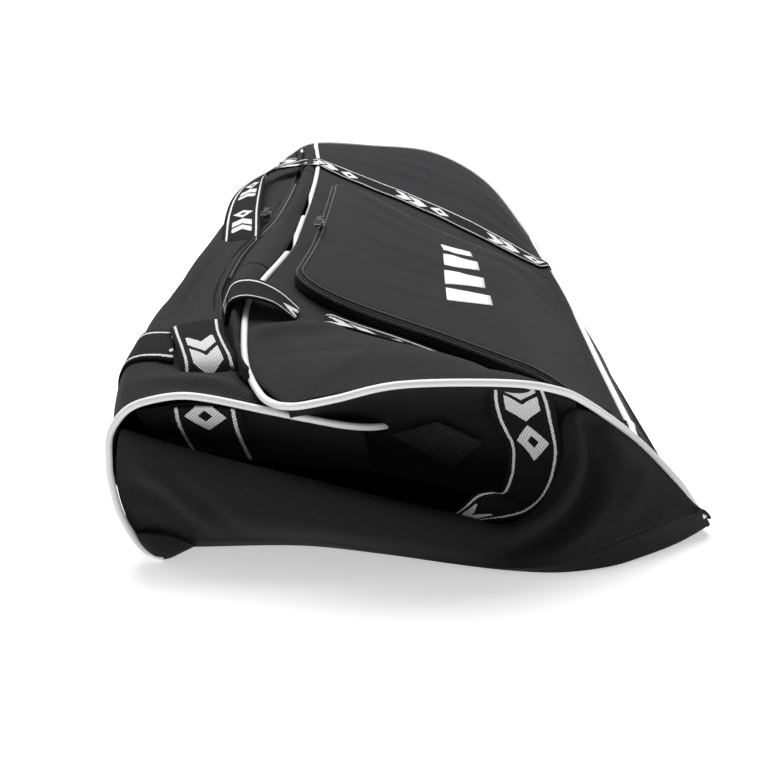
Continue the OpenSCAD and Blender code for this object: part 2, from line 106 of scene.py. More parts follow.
BASE_NEAR = [
    [-194, -396, 3], [-160, -404, 3], [-89, -400, 3], [-20, -414, 3], [52, -434, 3],
    [128, -428, 3], [205, -376, 4]]
BASE_MIDDLE = [
    [-196, 0, 3], [-130, 0, 3], [-64, 0, 3], [2, 0, 3], [68, 0, 3], [134, 0, 3],
    [199, 0, 3]]
BASE_FAR = [
    [-183, 425, 3], [-120, 430, 3], [-60, 433, 3], [0, 433, 3], [60, 422, 3],
    [125, 402, 3], [187, 381, 3]]

RIGHT_SIDE = [RIDGE, RIGHT_UPPER, RIGHT_MIDDLE, RIGHT_LOWER, LOWER_SEAM]
LEFT_SIDE = [FLOOR_LEFT, LEFT_BULGE, LEFT_SHOULDER, LEFT_CROWN, GROOVE]
LOWER_WRAP = [LOWER_SEAM, WRAP_MIDDLE, FLOOR_RIGHT]

# The collapsed near end: each line runs from left to right
LIP_EDGE = [
    [-206, -430, 100], [-155, -438, 87], [-85, -441, 70], [-18, -441, 52],
    [26, -440, 41], [57, -440, 34], [88, -437, 50], [103, -427, 76],
    [103, -418, 110], [148, -393, 79], [212, -382, 12]]
LIP_INSIDE = [
    [-200, -405, 78], [-150, -402, 62], [-82, -402, 46], [-20, -404, 32],
    [24, -408, 26], [50, -412, 22], [74, -414, 38], [91, -410, 70],
    [96, -406, 104], [146, -390, 77], [210, -380, 13]]
END_MIDDLE = [
    [-213, -427, 58], [-160, -442, 46], [-86, -445, 38], [-20, -446, 29],
    [26, -446, 22], [58, -445, 18], [94, -442, 28], [118, -431, 52],
    [130, -420, 74], [166, -402, 52], [212, -384, 14]]
END_SEAM = [
    [-206, -424, 17], [-163, -421, 10], [-89, -421, 11], [-30, -431, 8],
    [20, -440, 5], [56, -446, 5], [92, -446, 8], [120, -437, 15],
    [145, -425, 20], [172, -411, 24], [204, -388, 22]]
END_UNDER = [
    [-198, -424, 7], [-161, -413, 2], [-89, -409, 1.2], [-30, -420, 1],
    [20, -433, 0.8], [56, -441, 0.8], [92, -444, 1], [127, -437, 1.5],
    [153, -424, 2], [185, -403, 2.5], [213, -382, 6]]
CORNER_TOP = [
    [-205, -426, 19], [-197, -430, 22], [-188, -432, 22.5], [-179, -431, 21],
    [-171, -429, 16], [-162, -425, 9]]
CORNER_LOW = [
    [-205, -425, 17], [-198, -428, 8], [-189, -430, 1.8], [-181, -428, 0.8],
    [-172, -423, 3], [-163, -421, 7]]
RECESS_TOP = [
    [-200, -413, 108], [-145, -420, 116], [-90, -418, 104], [-45, -404, 92]]
RECESS_FRONT = [
    [-196, -412, 98], [-145, -412, 98], [-90, -408, 88], [-42, -400, 82]]
RECESS_LOW = [
    [-190, -402, 82], [-143, -396, 76], [-88, -390, 66], [-40, -388, 62]]
RECESS_BACK = [
    [-186, -395, 70], [-140, -385, 60], [-85, -378, 50], [-38, -376, 46]]
RECESS_LEFT = [RECESS_TOP, RECESS_FRONT, RECESS_LOW, RECESS_BACK]
ROOF_TOP = [
    [-92, -434, 116], [-55, -440, 130], [-18, -443, 136], [20, -442, 137],
    [48, -437, 135], [76, -427, 128], [101, -417, 117]]
ROOF_FRONT = [
    [-92, -415, 100], [-55, -408, 108], [-18, -408, 112], [20, -410, 112],
    [48, -408, 110], [78, -408, 104], [104, -412, 100]]
ROOF_MIDDLE = [
    [-90, -392, 82], [-55, -385, 86], [-18, -390, 86], [20, -394, 84],
    [50, -398, 80], [82, -404, 78], [104, -416, 82]]
ROOF_BACK = [
    [-86, -378, 66], [-50, -370, 64], [-15, -372, 62], [20, -378, 60],
    [50, -390, 56], [78, -406, 56], [100, -418, 68]]
ROOF_LOW = [
    [-84, -385, 52], [-50, -380, 48], [-15, -384, 44], [20, -390, 38],
    [46, -402, 36], [72, -414, 42], [96, -416, 60]]
RECESS_ROOF = [ROOF_TOP, ROOF_FRONT, ROOF_MIDDLE, ROOF_BACK, ROOF_LOW]

FAR_TOP = [
    [-191, 428, 80], [-176, 430, 134], [-158, 433, 155], [-130, 434, 166],
    [-60, 440, 164], [30, 441, 154], [104, 417, 116], [163, 378, 48]]
FAR_MIDDLE = [
    [-190, 431, 40], [-170, 436, 60], [-145, 439, 72], [-110, 441, 80],
    [-55, 445, 78], [28, 444, 70], [102, 420, 54], [168, 380, 28]]
FAR_BOTTOM = [
    [-184, 427, 2], [-162, 430, 2], [-132, 432, 2], [-90, 434, 2],
    [-40, 436, 2], [25, 434, 2], [95, 412, 2], [184, 382, 2]]

PIPING_NEAR_LEFT = [
    [-186, -429, 3], [-197, -428, 8], [-206, -427, 20], [-213.5, -427, 39],
    [-217, -427, 63], [-217, -427, 76], [-215, -427, 94], [-208, -427, 107],
    [-198, -427, 116], [-184, -427, 121], [-165, -427, 124], [-145, -427, 122],
    [-110, -424, 113], [-85, -420, 106], [-60, -413, 98], [-42, -403, 92], [-28, -386, 86],
    [-20, -364, 80]]
PIPING_NEAR_RIGHT = [
    RIDGE[1], [-118, -405, 123.3], [-110, -422, 121], [-101, -434, 121],
    [-93, -440, 122], [-82, -445, 124.5], [-60, -447, 130], RIGHT_UPPER[0], RIGHT_MIDDLE[0],
    [84, -430, 131], RIGHT_LOWER[0], LOWER_SEAM[0], WRAP_MIDDLE[0], [198, -386, 24],
    [206, -385, 15]]
PIPING_FAR = [
    [-186, 430, 4], LEFT_BULGE[10], LEFT_SHOULDER[10], LEFT_CROWN[10], RIDGE[10],
    RIGHT_UPPER[10], RIGHT_MIDDLE[10], RIGHT_LOWER[10], LOWER_SEAM[10],
    WRAP_MIDDLE[10], [190, 385, 4]]

FLAP_FROM, FLAP_TO = 4.3, 7.4
PIPING_RADIUS = 2.6
WEBBING = 50.0
CLOTH_THICKNESS = 1.6
WEB_THICKNESS = 1.8
WEB_COLUMNS = 9
TAPE_THICKNESS = 0.8
# Last station of the long seam lines, at the far end
LAST = 10

# ---------------------------------------------------------------- curves and sheets


def catmull(a, b, c, d, t):
    """Catmull-Rom value between b and c, at t from 0 to 1."""
    return 0.5 * (2 * b + (c - a) * t + (2 * a - 5 * b + 4 * c - d) * t ** 2
                  + (3 * b - a - 3 * c + d) * t ** 3)


def curve_at(points, stations):
    """Catmull-Rom curve through the points, at an array of stations."""
    pts = np.asarray(points, float)
    s = np.clip(np.asarray(stations, float), 0, len(pts) - 1)
    k = np.minimum(np.floor(s).astype(int), len(pts) - 2)
    padded = np.vstack([2 * pts[0] - pts[1], pts, 2 * pts[-1] - pts[-2]])
    return catmull(*(padded[k + i] for i in range(4)), (s - k)[..., None])


def sheet_at(lines, station, part):
    """Points of the sheet held by the lines, at matching arrays of station and part (0 to 1)."""
    station, part = np.broadcast_arrays(station, part)
    rails = np.stack([curve_at(line, station) for line in lines])
    q = np.clip(part, 0, 1) * (len(lines) - 1)
    k = np.minimum(np.floor(q).astype(int), len(lines) - 2)
    first = 2 * rails[:1] - rails[1:2]
    last = 2 * rails[-1:] - rails[-2:-1]
    padded = np.concatenate([first, rails, last])
    where = np.indices(k.shape)
    return catmull(*(padded[(k + i, *where)] for i in range(4)), (q - k)[..., None])


def unit(v):
    """The directions of an array of vectors."""
    return v / np.maximum(np.linalg.norm(v, axis=-1, keepdims=True), 1e-6)


def sheet_normal(lines, station, part, face=1):
    """Directions square to the sheet; face turns them out of the bag."""
    last = len(lines[0]) - 1
    s = np.clip(station, 0.02, last - 0.02)
    p = np.clip(part, 0.02, 0.98)
    s, p = np.broadcast_arrays(s, p)
    along = sheet_at(lines, s + 0.02, p) - sheet_at(lines, s - 0.02, p)
    over = sheet_at(lines, s, p + 0.02) - sheet_at(lines, s, p - 0.02)
    return face * unit(np.cross(along, over))


def lifted(lines, station, part, height, face=1):
    """Points of the sheet raised square to it by a height."""
    height = np.asarray(height, float)
    if height.ndim:
        height = height[..., None]
    return sheet_at(lines, station, part) + height * sheet_normal(lines, station, part, face)


def ease(t):
    """Smooth step from 0 to 1."""
    t = np.clip(t, 0, 1)
    return t * t * (3 - 2 * t)


def grid_normals(points):
    """Directions square to a grid of points."""
    along = np.gradient(points, axis=0)
    over = np.gradient(points, axis=1)
    return unit(np.cross(along, over))


def cloth_noise(points, scale, seed):
    """Smooth noise from -1 to 1 at each point."""
    flat = points.reshape(-1, 3) / scale
    values = [noise.noise(Vector((p[0] + seed, p[1], p[2]))) for p in flat]
    return np.array(values).reshape(points.shape[:-1])


def fold_height(points, path, width, height, plane=(0, 1)):
    """A crease of the given height and half width along a path, fading towards its ends."""
    path = np.asarray(path, float)
    samples = 40
    dense = curve_at(path, np.linspace(0, len(path) - 1, samples))
    flat = points[..., list(plane)]
    gaps = np.linalg.norm(flat[..., None, :] - dense, axis=-1)
    nearest = gaps.argmin(axis=-1)
    distance = gaps.min(axis=-1)
    fade = np.sin(np.pi * np.clip((nearest + 0.5) / samples, 0, 1)) ** 0.6
    return height * fade * np.exp(-(distance / width) ** 2)


def with_folds(height, points, creases, plane=(0, 1)):
    """The height with creases of (path, half width, height) added one after another."""
    for path, width, rise in creases:
        height = height + fold_height(points, path, width, rise, plane)
    return height


def arc_lengths(points, axis):
    """Distance from the first point to each point, along one axis of the grid."""
    steps = np.linalg.norm(np.diff(points, axis=axis), axis=-1)
    total = np.cumsum(steps, axis=axis)
    start = np.zeros_like(np.take(total, [0], axis=axis))
    return np.concatenate([start, total], axis=axis)


def set_uvs(mesh, uvs):
    """Gives each face corner of the mesh the uv of its vertex."""
    corner = np.empty(len(mesh.loops), int)
    mesh.loops.foreach_get("vertex_index", corner)
    mesh.uv_layers[0].data.foreach_set("uv", np.asarray(uvs)[corner].ravel())


def grid_faces(rows, columns, start=0, closed=False):
    """Quads of a grid of vertices that begins at index start, row after row."""
    faces = []
    for i in range(rows - 1):
        low, high = start + i * columns, start + (i + 1) * columns
        for j in range(columns if closed else columns - 1):
            k = (j + 1) % columns
            faces.append((low + j, low + k, high + k, high + j))
    return faces


def mesh_object(name, vertices, faces, uvs=None):
    """A mesh object from millimetre vertices; uvs are metres, one pair for each vertex."""
    mesh = bpy.data.meshes.new(name)
    mesh.from_pydata([tuple(v) for v in np.asarray(vertices) * MM], [], faces)
    mesh.uv_layers.new(name="UVMap")
    set_uvs(mesh, np.zeros((len(vertices), 2)) if uvs is None else uvs)
    mesh.polygons.foreach_set("use_smooth", [True] * len(mesh.polygons))
    mesh.update()
    obj = bpy.data.objects.new(name, mesh)
    bpy.context.scene.collection.objects.link(obj)
    return obj


def grid_object(name, points, flip=False, closed=False):
    """A quad grid from points[rows, columns], with its arc lengths as the texture map.

    closed joins the last column to the first, as around a tube."""
    rows, columns = points.shape[:2]
    across = arc_lengths(points, 1).mean(axis=0)
    along = arc_lengths(points, 0).mean(axis=1)
    uvs = np.stack(np.meshgrid(across, along), axis=-1).reshape(-1, 2) * MM
    faces = grid_faces(rows, columns, closed=closed)
    if flip:
        faces = [quad[::-1] for quad in faces]
    return mesh_object(name, points.reshape(-1, 3), faces, uvs)


def thicken(obj, thickness, offset=-1.0):
    """Cloth thickness in millimetres, laid inwards from the surface."""
    modifier = obj.modifiers.new("thickness", "SOLIDIFY")
    modifier.thickness = thickness * MM
    modifier.offset = offset
    return obj


def finish_piece(obj, material, body, slot, *nodes):
    """Gives a piece its material, hides the CAD nodes it stands for and attaches it to the body it
    follows; slot is not used.

    A pair of bodies, given for cloth sewn down along the ridge, leaves the piece unattached, with
    its placement baked into the mesh."""
    obj.data.materials.clear()
    obj.data.materials.append(material)
    if nodes:
        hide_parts(*nodes)
    if isinstance(body, tuple):
        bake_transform(obj)
    else:
        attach(obj, body)
    return obj


def cloth_sheet(name, lines, stations, parts, face, shape=None, thickness=CLOTH_THICKNESS):
    """A fabric panel over arrays of stations and parts. shape adds height to the points."""
    s, p = np.meshgrid(stations, parts, indexing="ij")
    points = sheet_at(lines, s, p)
    if shape is not None:
        points = points + shape(points, s, p)[..., None] * sheet_normal(lines, s, p, face)
    obj = grid_object(name, points, flip=face > 0)
    return thicken(obj, thickness)


def ribbon(name, first_edge, second_edge, rows, crown, phase):
    """Webbing between two edge paths. crown bows its middle up."""
    last = len(first_edge) - 1
    s = np.linspace(0, last, rows)
    a, b = curve_at(first_edge, s), curve_at(second_edge, s)
    t = np.linspace(0, 1, WEB_COLUMNS)
    points = a[:, None] + (b - a)[:, None] * t[None, :, None]
    points = points + (crown * np.sin(np.pi * t))[None, :, None] * grid_normals(points)
    return webbing_object(name, points, phase=phase)


def webbing_object(name, points, flip=False, phase=0.0):
    """Webbing from a grid of points; across it the texture always spans the webbing's width.

    phase shifts the woven pattern along it, in millimetres."""
    obj = grid_object(name, points, flip=flip)
    along = arc_lengths(points, 0).mean(axis=1) + phase
    across = np.linspace(0, WEBBING, points.shape[1])
    set_uvs(obj.data, np.stack(np.meshgrid(across, along), axis=-1).reshape(-1, 2) * MM)
    return thicken(obj, WEB_THICKNESS, 0.0)


def sewn_strap(name, lines, station, parts, face, lift=1.4, ripple=0.0, phase=0.0, shape=None):
    """Webbing laid over a panel at one station and sewn down along its edges.

    shape is the height that the panel itself has over its rails."""
    columns = np.linspace(-0.5, 0.5, WEB_COLUMNS)
    step = 0.1
    gap = np.linalg.norm(sheet_at(lines, station + step + 0 * parts, parts)
                         - sheet_at(lines, station - step + 0 * parts, parts), axis=-1) / (2 * step)
    s = station + columns[None, :] * (WEBBING / gap)[:, None]
    p = np.broadcast_to(parts[:, None], s.shape)
    bow = lift + ripple * np.sin(parts * 40)[:, None] * np.cos(np.pi * columns)[None, :]
    if shape is not None:
        bow = bow + shape(sheet_at(lines, s, p), s, p)
    return webbing_object(name, lifted(lines, s, p, bow, face), flip=face > 0, phase=phase)


def tube_points(path, radius, rows, sides=12, from_s=0.0, to_s=None):
    """Rings of points around a path, which turn as little as they can along it."""
    last = len(path) - 1 if to_s is None else to_s
    s = np.linspace(from_s, last, rows)
    centre = curve_at(path, s)
    aim = unit(np.gradient(centre, axis=0))
    up = np.array([0.0, 0.0, 1.0])
    side = [unit(np.cross(aim[0], up if abs(aim[0][2]) < 0.9 else np.array([0.0, 1.0, 0.0])))]
    for k in range(1, rows):
        kept = side[-1] - aim[k] * np.dot(side[-1], aim[k])
        side.append(unit(kept))
    side = np.array(side)
    rise = np.cross(aim, side)
    angle = np.linspace(0, 2 * np.pi, sides, endpoint=False)
    return (centre[:, None] + radius * (np.cos(angle)[None, :, None] * side[:, None]
                                        + np.sin(angle)[None, :, None] * rise[:, None]))


def piping(name, path, rows, radius=PIPING_RADIUS, from_s=0.0, to_s=None):
    """A round cord along a path, with rounded ends."""
    points = tube_points(path, radius, rows, from_s=from_s, to_s=to_s)
    for end, step in ((0, 1), (-1, -1)):
        middle = points[end].mean(axis=0)
        aim = unit(middle - points[end + step].mean(axis=0))
        caps = [middle + (points[end] - middle) * k + aim * radius * h
                for k, h in ((0.75, 0.55), (0.35, 0.85), (0.02, 0.95))]
        points = np.concatenate([caps[::-1], points] if end == 0 else [points, caps])
    return grid_object(name, points, closed=True, flip=True)


# ---------------------------------------------------------------- materials


class Nodes:
    """Short helper for building a node material."""

    def __init__(self, name):
        self.material = bpy.data.materials.new(name)
        self.material.use_nodes = True
        self.tree = self.material.node_tree
        self.shader = self.tree.nodes["Principled BSDF"]

    def add(self, kind, **values):
        node = self.tree.nodes.new(kind)
        for key, value in values.items():
            setattr(node, key, value)
        return node

    def link(self, source, target):
        self.tree.links.new(source, target)

    def math(self, operation, a, b=None, clamp=False):
        node = self.add("ShaderNodeMath", operation=operation, use_clamp=clamp)
        for index, value in enumerate((a, b)):
            if value is None:
                continue
            if isinstance(value, (int, float)):
                node.inputs[index].default_value = value
            else:
                self.link(value, node.inputs[index])
        return node.outputs[0]

    def mix(self, factor, low, high):
        """Colour between low and high; each is a grey, a colour or an output."""
        node = self.add("ShaderNodeMix", data_type="RGBA")
        for socket, value in ((node.inputs["Factor"], factor), (node.inputs[6], low),
                              (node.inputs[7], high)):
            if isinstance(value, (int, float)):
                socket.default_value = value if socket.type == "VALUE" else (value,) * 3 + (1,)
            elif isinstance(value, tuple):
                socket.default_value = value + (1,)
            else:
                self.link(value, socket)
        return node.outputs[2]

    def uv(self):
        separate = self.add("ShaderNodeSeparateXYZ")
        self.link(self.add("ShaderNodeUVMap").outputs[0], separate.inputs[0])
        return separate.outputs[0], separate.outputs[1]

    def noise(self, scale, detail=3.0):
        node = self.add("ShaderNodeTexNoise")
        node.inputs["Scale"].default_value = scale
        node.inputs["Detail"].default_value = detail
        self.link(self.add("ShaderNodeTexCoord").outputs["Object"], node.inputs["Vector"])
        return node.outputs[0]

    def wave(self, value, pitch):
        """Sine of a length in metres, one cycle for every two pitches."""
        return self.math("SINE", self.math("MULTIPLY", value, math.pi / pitch))

    def bump(self, height, distance, strength=1.0, after=None):
        node = self.add("ShaderNodeBump")
        node.inputs["Strength"].default_value = strength
        node.inputs["Distance"].default_value = distance
        self.link(height, node.inputs["Height"])
        if after is not None:
            self.link(after, node.inputs["Normal"])
        return node.outputs[0]

    def set(self, **sockets):
        for name, value in sockets.items():
            socket = self.shader.inputs[name.replace("_", " ")]
            if hasattr(value, "node"):
                self.link(value, socket)
            else:
                socket.default_value = value
        return self.material


def weave(nodes, pitch):
    """Plain weave from 0 to 1: threads that pass over and under each other."""
    u, v = nodes.uv()
    product = nodes.math("MULTIPLY", nodes.wave(u, pitch), nodes.wave(v, pitch))
    return nodes.math("ADD", nodes.math("MULTIPLY", product, 0.5), 0.5)


def fabric_material(name, tone, pitch=0.0012, roughness=0.74):
    """Coated polyester: a fine plain weave with painted highlights on the thread crowns and painted
    shade between threads, slightly uneven in tone and gloss.
    """
    nodes = Nodes(name)
    threads = weave(nodes, pitch)
    cloud = nodes.noise(14.0, 4.0)
    grain = nodes.noise(900.0, 2.0)
    # Thread colour runs from painted shade in the hollows of the weave to a painted highlight on
    # its crowns
    shade = nodes.math("MULTIPLY", nodes.math("ADD", threads, 0.55), 0.85)
    light = tuple(min(1.0, c * 2.1) for c in tone)
    dark = tuple(c * 0.25 for c in tone)
    thread_light_and_shade = nodes.mix(nodes.math("MULTIPLY", shade, 0.8, clamp=True), dark, light)
    worn = nodes.mix(nodes.math("MULTIPLY", cloud, 0.35), thread_light_and_shade, tuple(c * 1.5 for c in tone))
    rough = nodes.math("ADD", nodes.math("MULTIPLY", grain, 0.16), roughness - 0.08)
    soft = nodes.bump(nodes.noise(55.0, 3.0), 0.0012, 0.25)
    woven = nodes.bump(threads, 0.00045, 1.0, soft)
    return nodes.set(Base_Color=worn, Roughness=rough, Normal=woven, Sheen_Weight=0.03,
                     Sheen_Roughness=0.45, Specular_IOR_Level=0.12)


def webbing_material():
    """Black webbing with white edge lines and a woven band of chevrons and diamonds."""
    nodes = Nodes("webbing")
    u, v = nodes.uv()
    off = nodes.math("ABSOLUTE", nodes.math("SUBTRACT", u, WEBBING * MM / 2))
    ragged = nodes.math("MULTIPLY", nodes.math("SUBTRACT", nodes.noise(700.0, 1.0), 0.5), 0.0012)
    line_at, line_half_width, motif_half_width = 0.0195, 0.0013, 0.0135
    edge_gap = nodes.math("SUBTRACT", nodes.math("ADD", off, ragged), line_at)
    edge = nodes.math("LESS_THAN", nodes.math("ABSOLUTE", edge_gap), line_half_width)
    # Motif: pairs of chevrons, then a diamond, repeated along the webbing
    repeat = 0.135
    along = nodes.math("MULTIPLY", nodes.math("FRACT", nodes.math("DIVIDE", v, repeat)), repeat)
    bent = nodes.math("ADD", along, nodes.math("MULTIPLY", off, 0.9))
    bent = nodes.math("ADD", bent, nodes.math("MULTIPLY", ragged, 1.2))
    inside = nodes.math("LESS_THAN", nodes.math("ADD", off, ragged), motif_half_width)

    def band(low, high):
        over = nodes.math("GREATER_THAN", bent, low)
        return nodes.math("MULTIPLY", over, nodes.math("LESS_THAN", bent, high))

    chevrons = nodes.math("ADD", band(0.010, 0.024), band(0.029, 0.046))
    chevrons = nodes.math("MULTIPLY", chevrons, inside)
    centre_gap = nodes.math("ABSOLUTE", nodes.math("SUBTRACT", along, 0.064))
    diamond = nodes.math("LESS_THAN", nodes.math("ADD", nodes.math("ADD", centre_gap, off), ragged),
                         0.0145)
    hole = nodes.math("GREATER_THAN", nodes.math("ADD", centre_gap, off), 0.005)
    motif = nodes.math("ADD", chevrons, nodes.math("MULTIPLY", diamond, hole), clamp=True)
    white = nodes.math("MAXIMUM", edge, motif)
    # Woven ribs: fine rows across, broken into single picks. The black ground is coloured lighter
    # on the ribs and darker between them, a painted highlight and painted shade.
    ribs = nodes.wave(v, 0.0014)
    picks = nodes.wave(u, 0.0012)
    knit = nodes.math("MULTIPLY", ribs, picks)
    lift = nodes.math("ADD", nodes.math("MULTIPLY", knit, 0.5), 0.5)
    ground = nodes.mix(lift, (0.0015, 0.0015, 0.0016), (0.010, 0.010, 0.0105))
    thread = nodes.mix(nodes.math("POWER", lift, 0.6), (0.05, 0.05, 0.05), (0.95, 0.95, 0.95))
    colour = nodes.mix(white, ground, thread)
    height = nodes.math("ADD", lift, nodes.math("MULTIPLY", white, 0.8))
    normal = nodes.bump(height, 0.0003, 0.9)
    return nodes.set(Base_Color=colour, Roughness=0.78, Normal=normal, Sheen_Weight=0.02,
                     Sheen_Roughness=0.5, Specular_IOR_Level=0.12)


def vinyl_material(name, tone, roughness):
    """Moulded vinyl or ink: a smooth surface with slight waviness and faint soiling."""
    nodes = Nodes(name)
    cloud = nodes.noise(40.0, 4.0)
    low = tuple(c * 0.9 for c in tone)
    colour = nodes.mix(nodes.math("MULTIPLY", cloud, 0.6), tone, low)
    rough = nodes.math("ADD", nodes.math("MULTIPLY", nodes.noise(300.0), 0.12), roughness - 0.06)
    normal = nodes.bump(nodes.noise(420.0, 2.0), 0.0002, 0.3)
    return nodes.set(Base_Color=colour, Roughness=rough, Normal=normal, Specular_IOR_Level=0.5)


def metal_material():
    """Dark plated zinc, rubbed lighter in places."""
    nodes = Nodes("slider_metal")
    worn = nodes.noise(260.0, 4.0)
    colour = nodes.mix(worn, (0.10, 0.10, 0.105), (0.42, 0.42, 0.43))
    rough = nodes.math("ADD", nodes.math("MULTIPLY", worn, 0.2), 0.22)
    normal = nodes.bump(nodes.noise(900.0, 2.0), 0.00008, 0.4)
    return nodes.set(Base_Color=colour, Roughness=rough, Normal=normal, Metallic=1.0)


def mesh_material():
    """Black knitted yarn of the vent."""
    nodes = Nodes("vent_mesh")
    u, v = nodes.uv()
    strands = nodes.math("ABSOLUTE", nodes.math("MULTIPLY", nodes.wave(u, 0.0006),
                                                nodes.wave(v, 0.0006)))
    colour = nodes.mix(strands, (0.012, 0.012, 0.013), (0.045, 0.045, 0.048))
    normal = nodes.bump(strands, 0.0002, 0.8)
    return nodes.set(Base_Color=colour, Roughness=0.6, Normal=normal, Specular_IOR_Level=0.3)


def floor_material():
    """Pale studio paper. It glows faintly, and more so far away, to stay white to the horizon."""
    nodes = Nodes("studio_floor")
    colour = nodes.mix(nodes.noise(3.0), (0.79, 0.79, 0.79), (0.81, 0.81, 0.81))
    place = nodes.add("ShaderNodeTexCoord").outputs["Object"]
    length = nodes.add("ShaderNodeVectorMath", operation="LENGTH")
    nodes.link(place, length.inputs[0])
    far = nodes.math("MULTIPLY", nodes.math("SUBTRACT", length.outputs["Value"], 0.7), 0.6,
                     clamp=True)
    glow = nodes.mix(far, (0.50, 0.50, 0.50), (1.0, 1.0, 1.0))
    return nodes.set(Base_Color=colour, Roughness=0.9, Specular_IOR_Level=0.1,
                     Emission_Color=glow, Emission_Strength=1.0)


BODY = fabric_material("body_fabric", (0.0125, 0.0125, 0.0135))
POCKET = fabric_material("pocket_fabric", (0.012, 0.012, 0.013))
# A darker copy of the body cloth for both end panels: painted shade for the near end, which faces
# away from the key light
END = fabric_material("end_fabric_painted_shade", (0.0082, 0.0082, 0.0088))
# A much darker copy of the body cloth for the sheets inside the near opening: painted shade of the
# recess
RECESS_CLOTH_PAINTED_SHADE = fabric_material("recess_fabric_painted_shade", (0.0045, 0.0045, 0.005))
BOARD = fabric_material("base_fabric", (0.010, 0.010, 0.011), pitch=0.0016)
# Black zip tape cloth, darker still than the body cloth: partly its own colour, partly painted
# shade on the zip tapes and the pocket's gusset wall
TAPE_CLOTH_AND_PAINTED_SHADE = fabric_material("zip_tape", (0.0022, 0.0022, 0.0024), pitch=0.0006, roughness=0.8)
# A lighter copy of the body cloth for rolled edges: a painted highlight along them
BINDING_PAINTED_HIGHLIGHT = fabric_material("edge_binding_painted_highlight", (0.024, 0.024, 0.025), pitch=0.0006, roughness=0.5)
WEB = webbing_material()
PIPING = vinyl_material("white_piping", (0.86, 0.86, 0.86), 0.35)
INK = vinyl_material("white_ink", (0.80, 0.80, 0.80), 0.55)
COIL = vinyl_material("zip_coil", (0.045, 0.045, 0.047), 0.30)
PULLER = vinyl_material("puller_rubber", (0.030, 0.030, 0.031), 0.5)
METAL = metal_material()
MESH = mesh_material()

# ---------------------------------------------------------------- right side, strips and wrap


def right_shape(points, s, p):
    """Soft wrinkles of the right side panel."""
    edge = ease(p / 0.06) * ease((1 - p) / 0.06) * ease(s / 0.4) * ease((LAST - s) / 0.3)
    height = 1.6 * cloth_noise(points, 95.0, 3.0) + 0.7 * cloth_noise(points, 38.0, 9.0)
    # Crest that hides the strap beside the ridge, and the slack of the near end
    height = with_folds(height, points, (
        ([[-134, -330], [-108, -328], [-80, -322], [-60, -312]], 12, 7.0),
        ([[-90, -415], [-50, -405], [0, -410]], 18, 2.0),
        ([[-105, -372], [-60, -376], [-10, -392]], 9, -1.8)))
    # Creases below the far strap, on the far hump and beside the near end
    height = with_folds(height, points, (
        ([[60, 250], [110, 215], [150, 170]], 8, -4.0),
        ([[40, 215], [100, 180], [148, 130]], 7, 3.5),
        ([[85, 300], [125, 250], [150, 205]], 8, 3.0),
        ([[-60, 395], [20, 380], [90, 330]], 16, -3.5),
        ([[-95, 330], [-20, 300], [60, 262]], 10, 4.0),
        ([[-70, 370], [0, 340], [70, 300]], 10, 3.0),
        ([[-120, 400], [-80, 380], [-50, 340]], 12, -2.5),
        ([[-95, -400], [-92, -370], [-104, -340]], 8, 2.2),
        ([[-70, -425], [-40, -395], [-5, -385]], 8, 2.0),
        ([[20, -425], [50, -395], [70, -370]], 9, -2.0)))
    # The pocket's weight rolls the panel over the middle of the lower seam
    hang = ease((s - 6.0) / 0.6) * ease((8.4 - s) / 0.5)
    return height * edge + 5.0 * hang * np.exp(-((p - 0.973) / 0.016) ** 2)


def under_fold(points, s, p):
    """Height of the near strap: it dips under the panel's fold beside the ridge."""
    return right_shape(points, s, p) - 7.0 * ease((0.21 - p) / 0.05)


right_panel = cloth_sheet("side_panel_right_cloth", RIGHT_SIDE, np.linspace(0.03, 9.97, 230),
                          np.linspace(0.008, 0.992, 84), -1, right_shape)
finish_piece(right_panel, BODY, "bag", "fabric_body", "side_panel_right")


def wrap_shape(points, s, p):
    """Slight fullness and unevenness of the lower wrap."""
    return (1.2 * cloth_noise(points, 80.0, 5.0)
            + 1.0 * np.sin(np.pi * np.clip(p, 0, 1))) * ease(s / 0.8) * ease((LAST - s) / 0.5)


wrap = cloth_sheet("lower_wrap_cloth", LOWER_WRAP, np.linspace(0.02, 9.98, 150),
                   np.linspace(0.02, 1, 26), -1, wrap_shape)
finish_piece(wrap, BODY, "bag", "fabric_body", "lower_wrap_right")


def strip_points(from_s, to_s, rows, columns=18):
    """The rolled strip between the main zip and the ridge."""
    s = np.linspace(from_s, to_s, rows)
    left, right = curve_at(GROOVE, s), curve_at(RIDGE, s)
    narrow = unit(right - left)
    left, right = left + 3.0 * narrow, right - 3.2 * narrow
    t = np.linspace(0, 1, columns)
    points = left[:, None] + (right - left)[:, None] * t[None, :, None]
    rise = 9.0 * np.sin(np.pi * t) ** 0.8 - 5.0 * (1 - t) ** 4
    points[..., 2] += rise[None, :] * (0.15 + 0.85 * ease((9.9 - s) / 1.6))[:, None]
    points[..., 2] += 0.8 * cloth_noise(points, 45.0, 2.0) * np.sin(np.pi * t)[None, :]
    return points


for name, node, body, span in (
        ("top_strip_near_cloth", "top_strip_near", "bag", (0.8, FLAP_FROM - 0.02)),
        ("top_flap_cloth", "top_flap", ("bag", "top_flap"), (FLAP_FROM, FLAP_TO)),
        ("top_strip_far_cloth", "top_strip_far", "bag", (FLAP_TO + 0.02, 9.95))):
    rows = int(24 * (span[1] - span[0]))
    strip = thicken(grid_object(name, strip_points(*span, rows)), CLOTH_THICKNESS)
    finish_piece(strip, BODY, body, "fabric_body", node)

# ---------------------------------------------------------------- left side


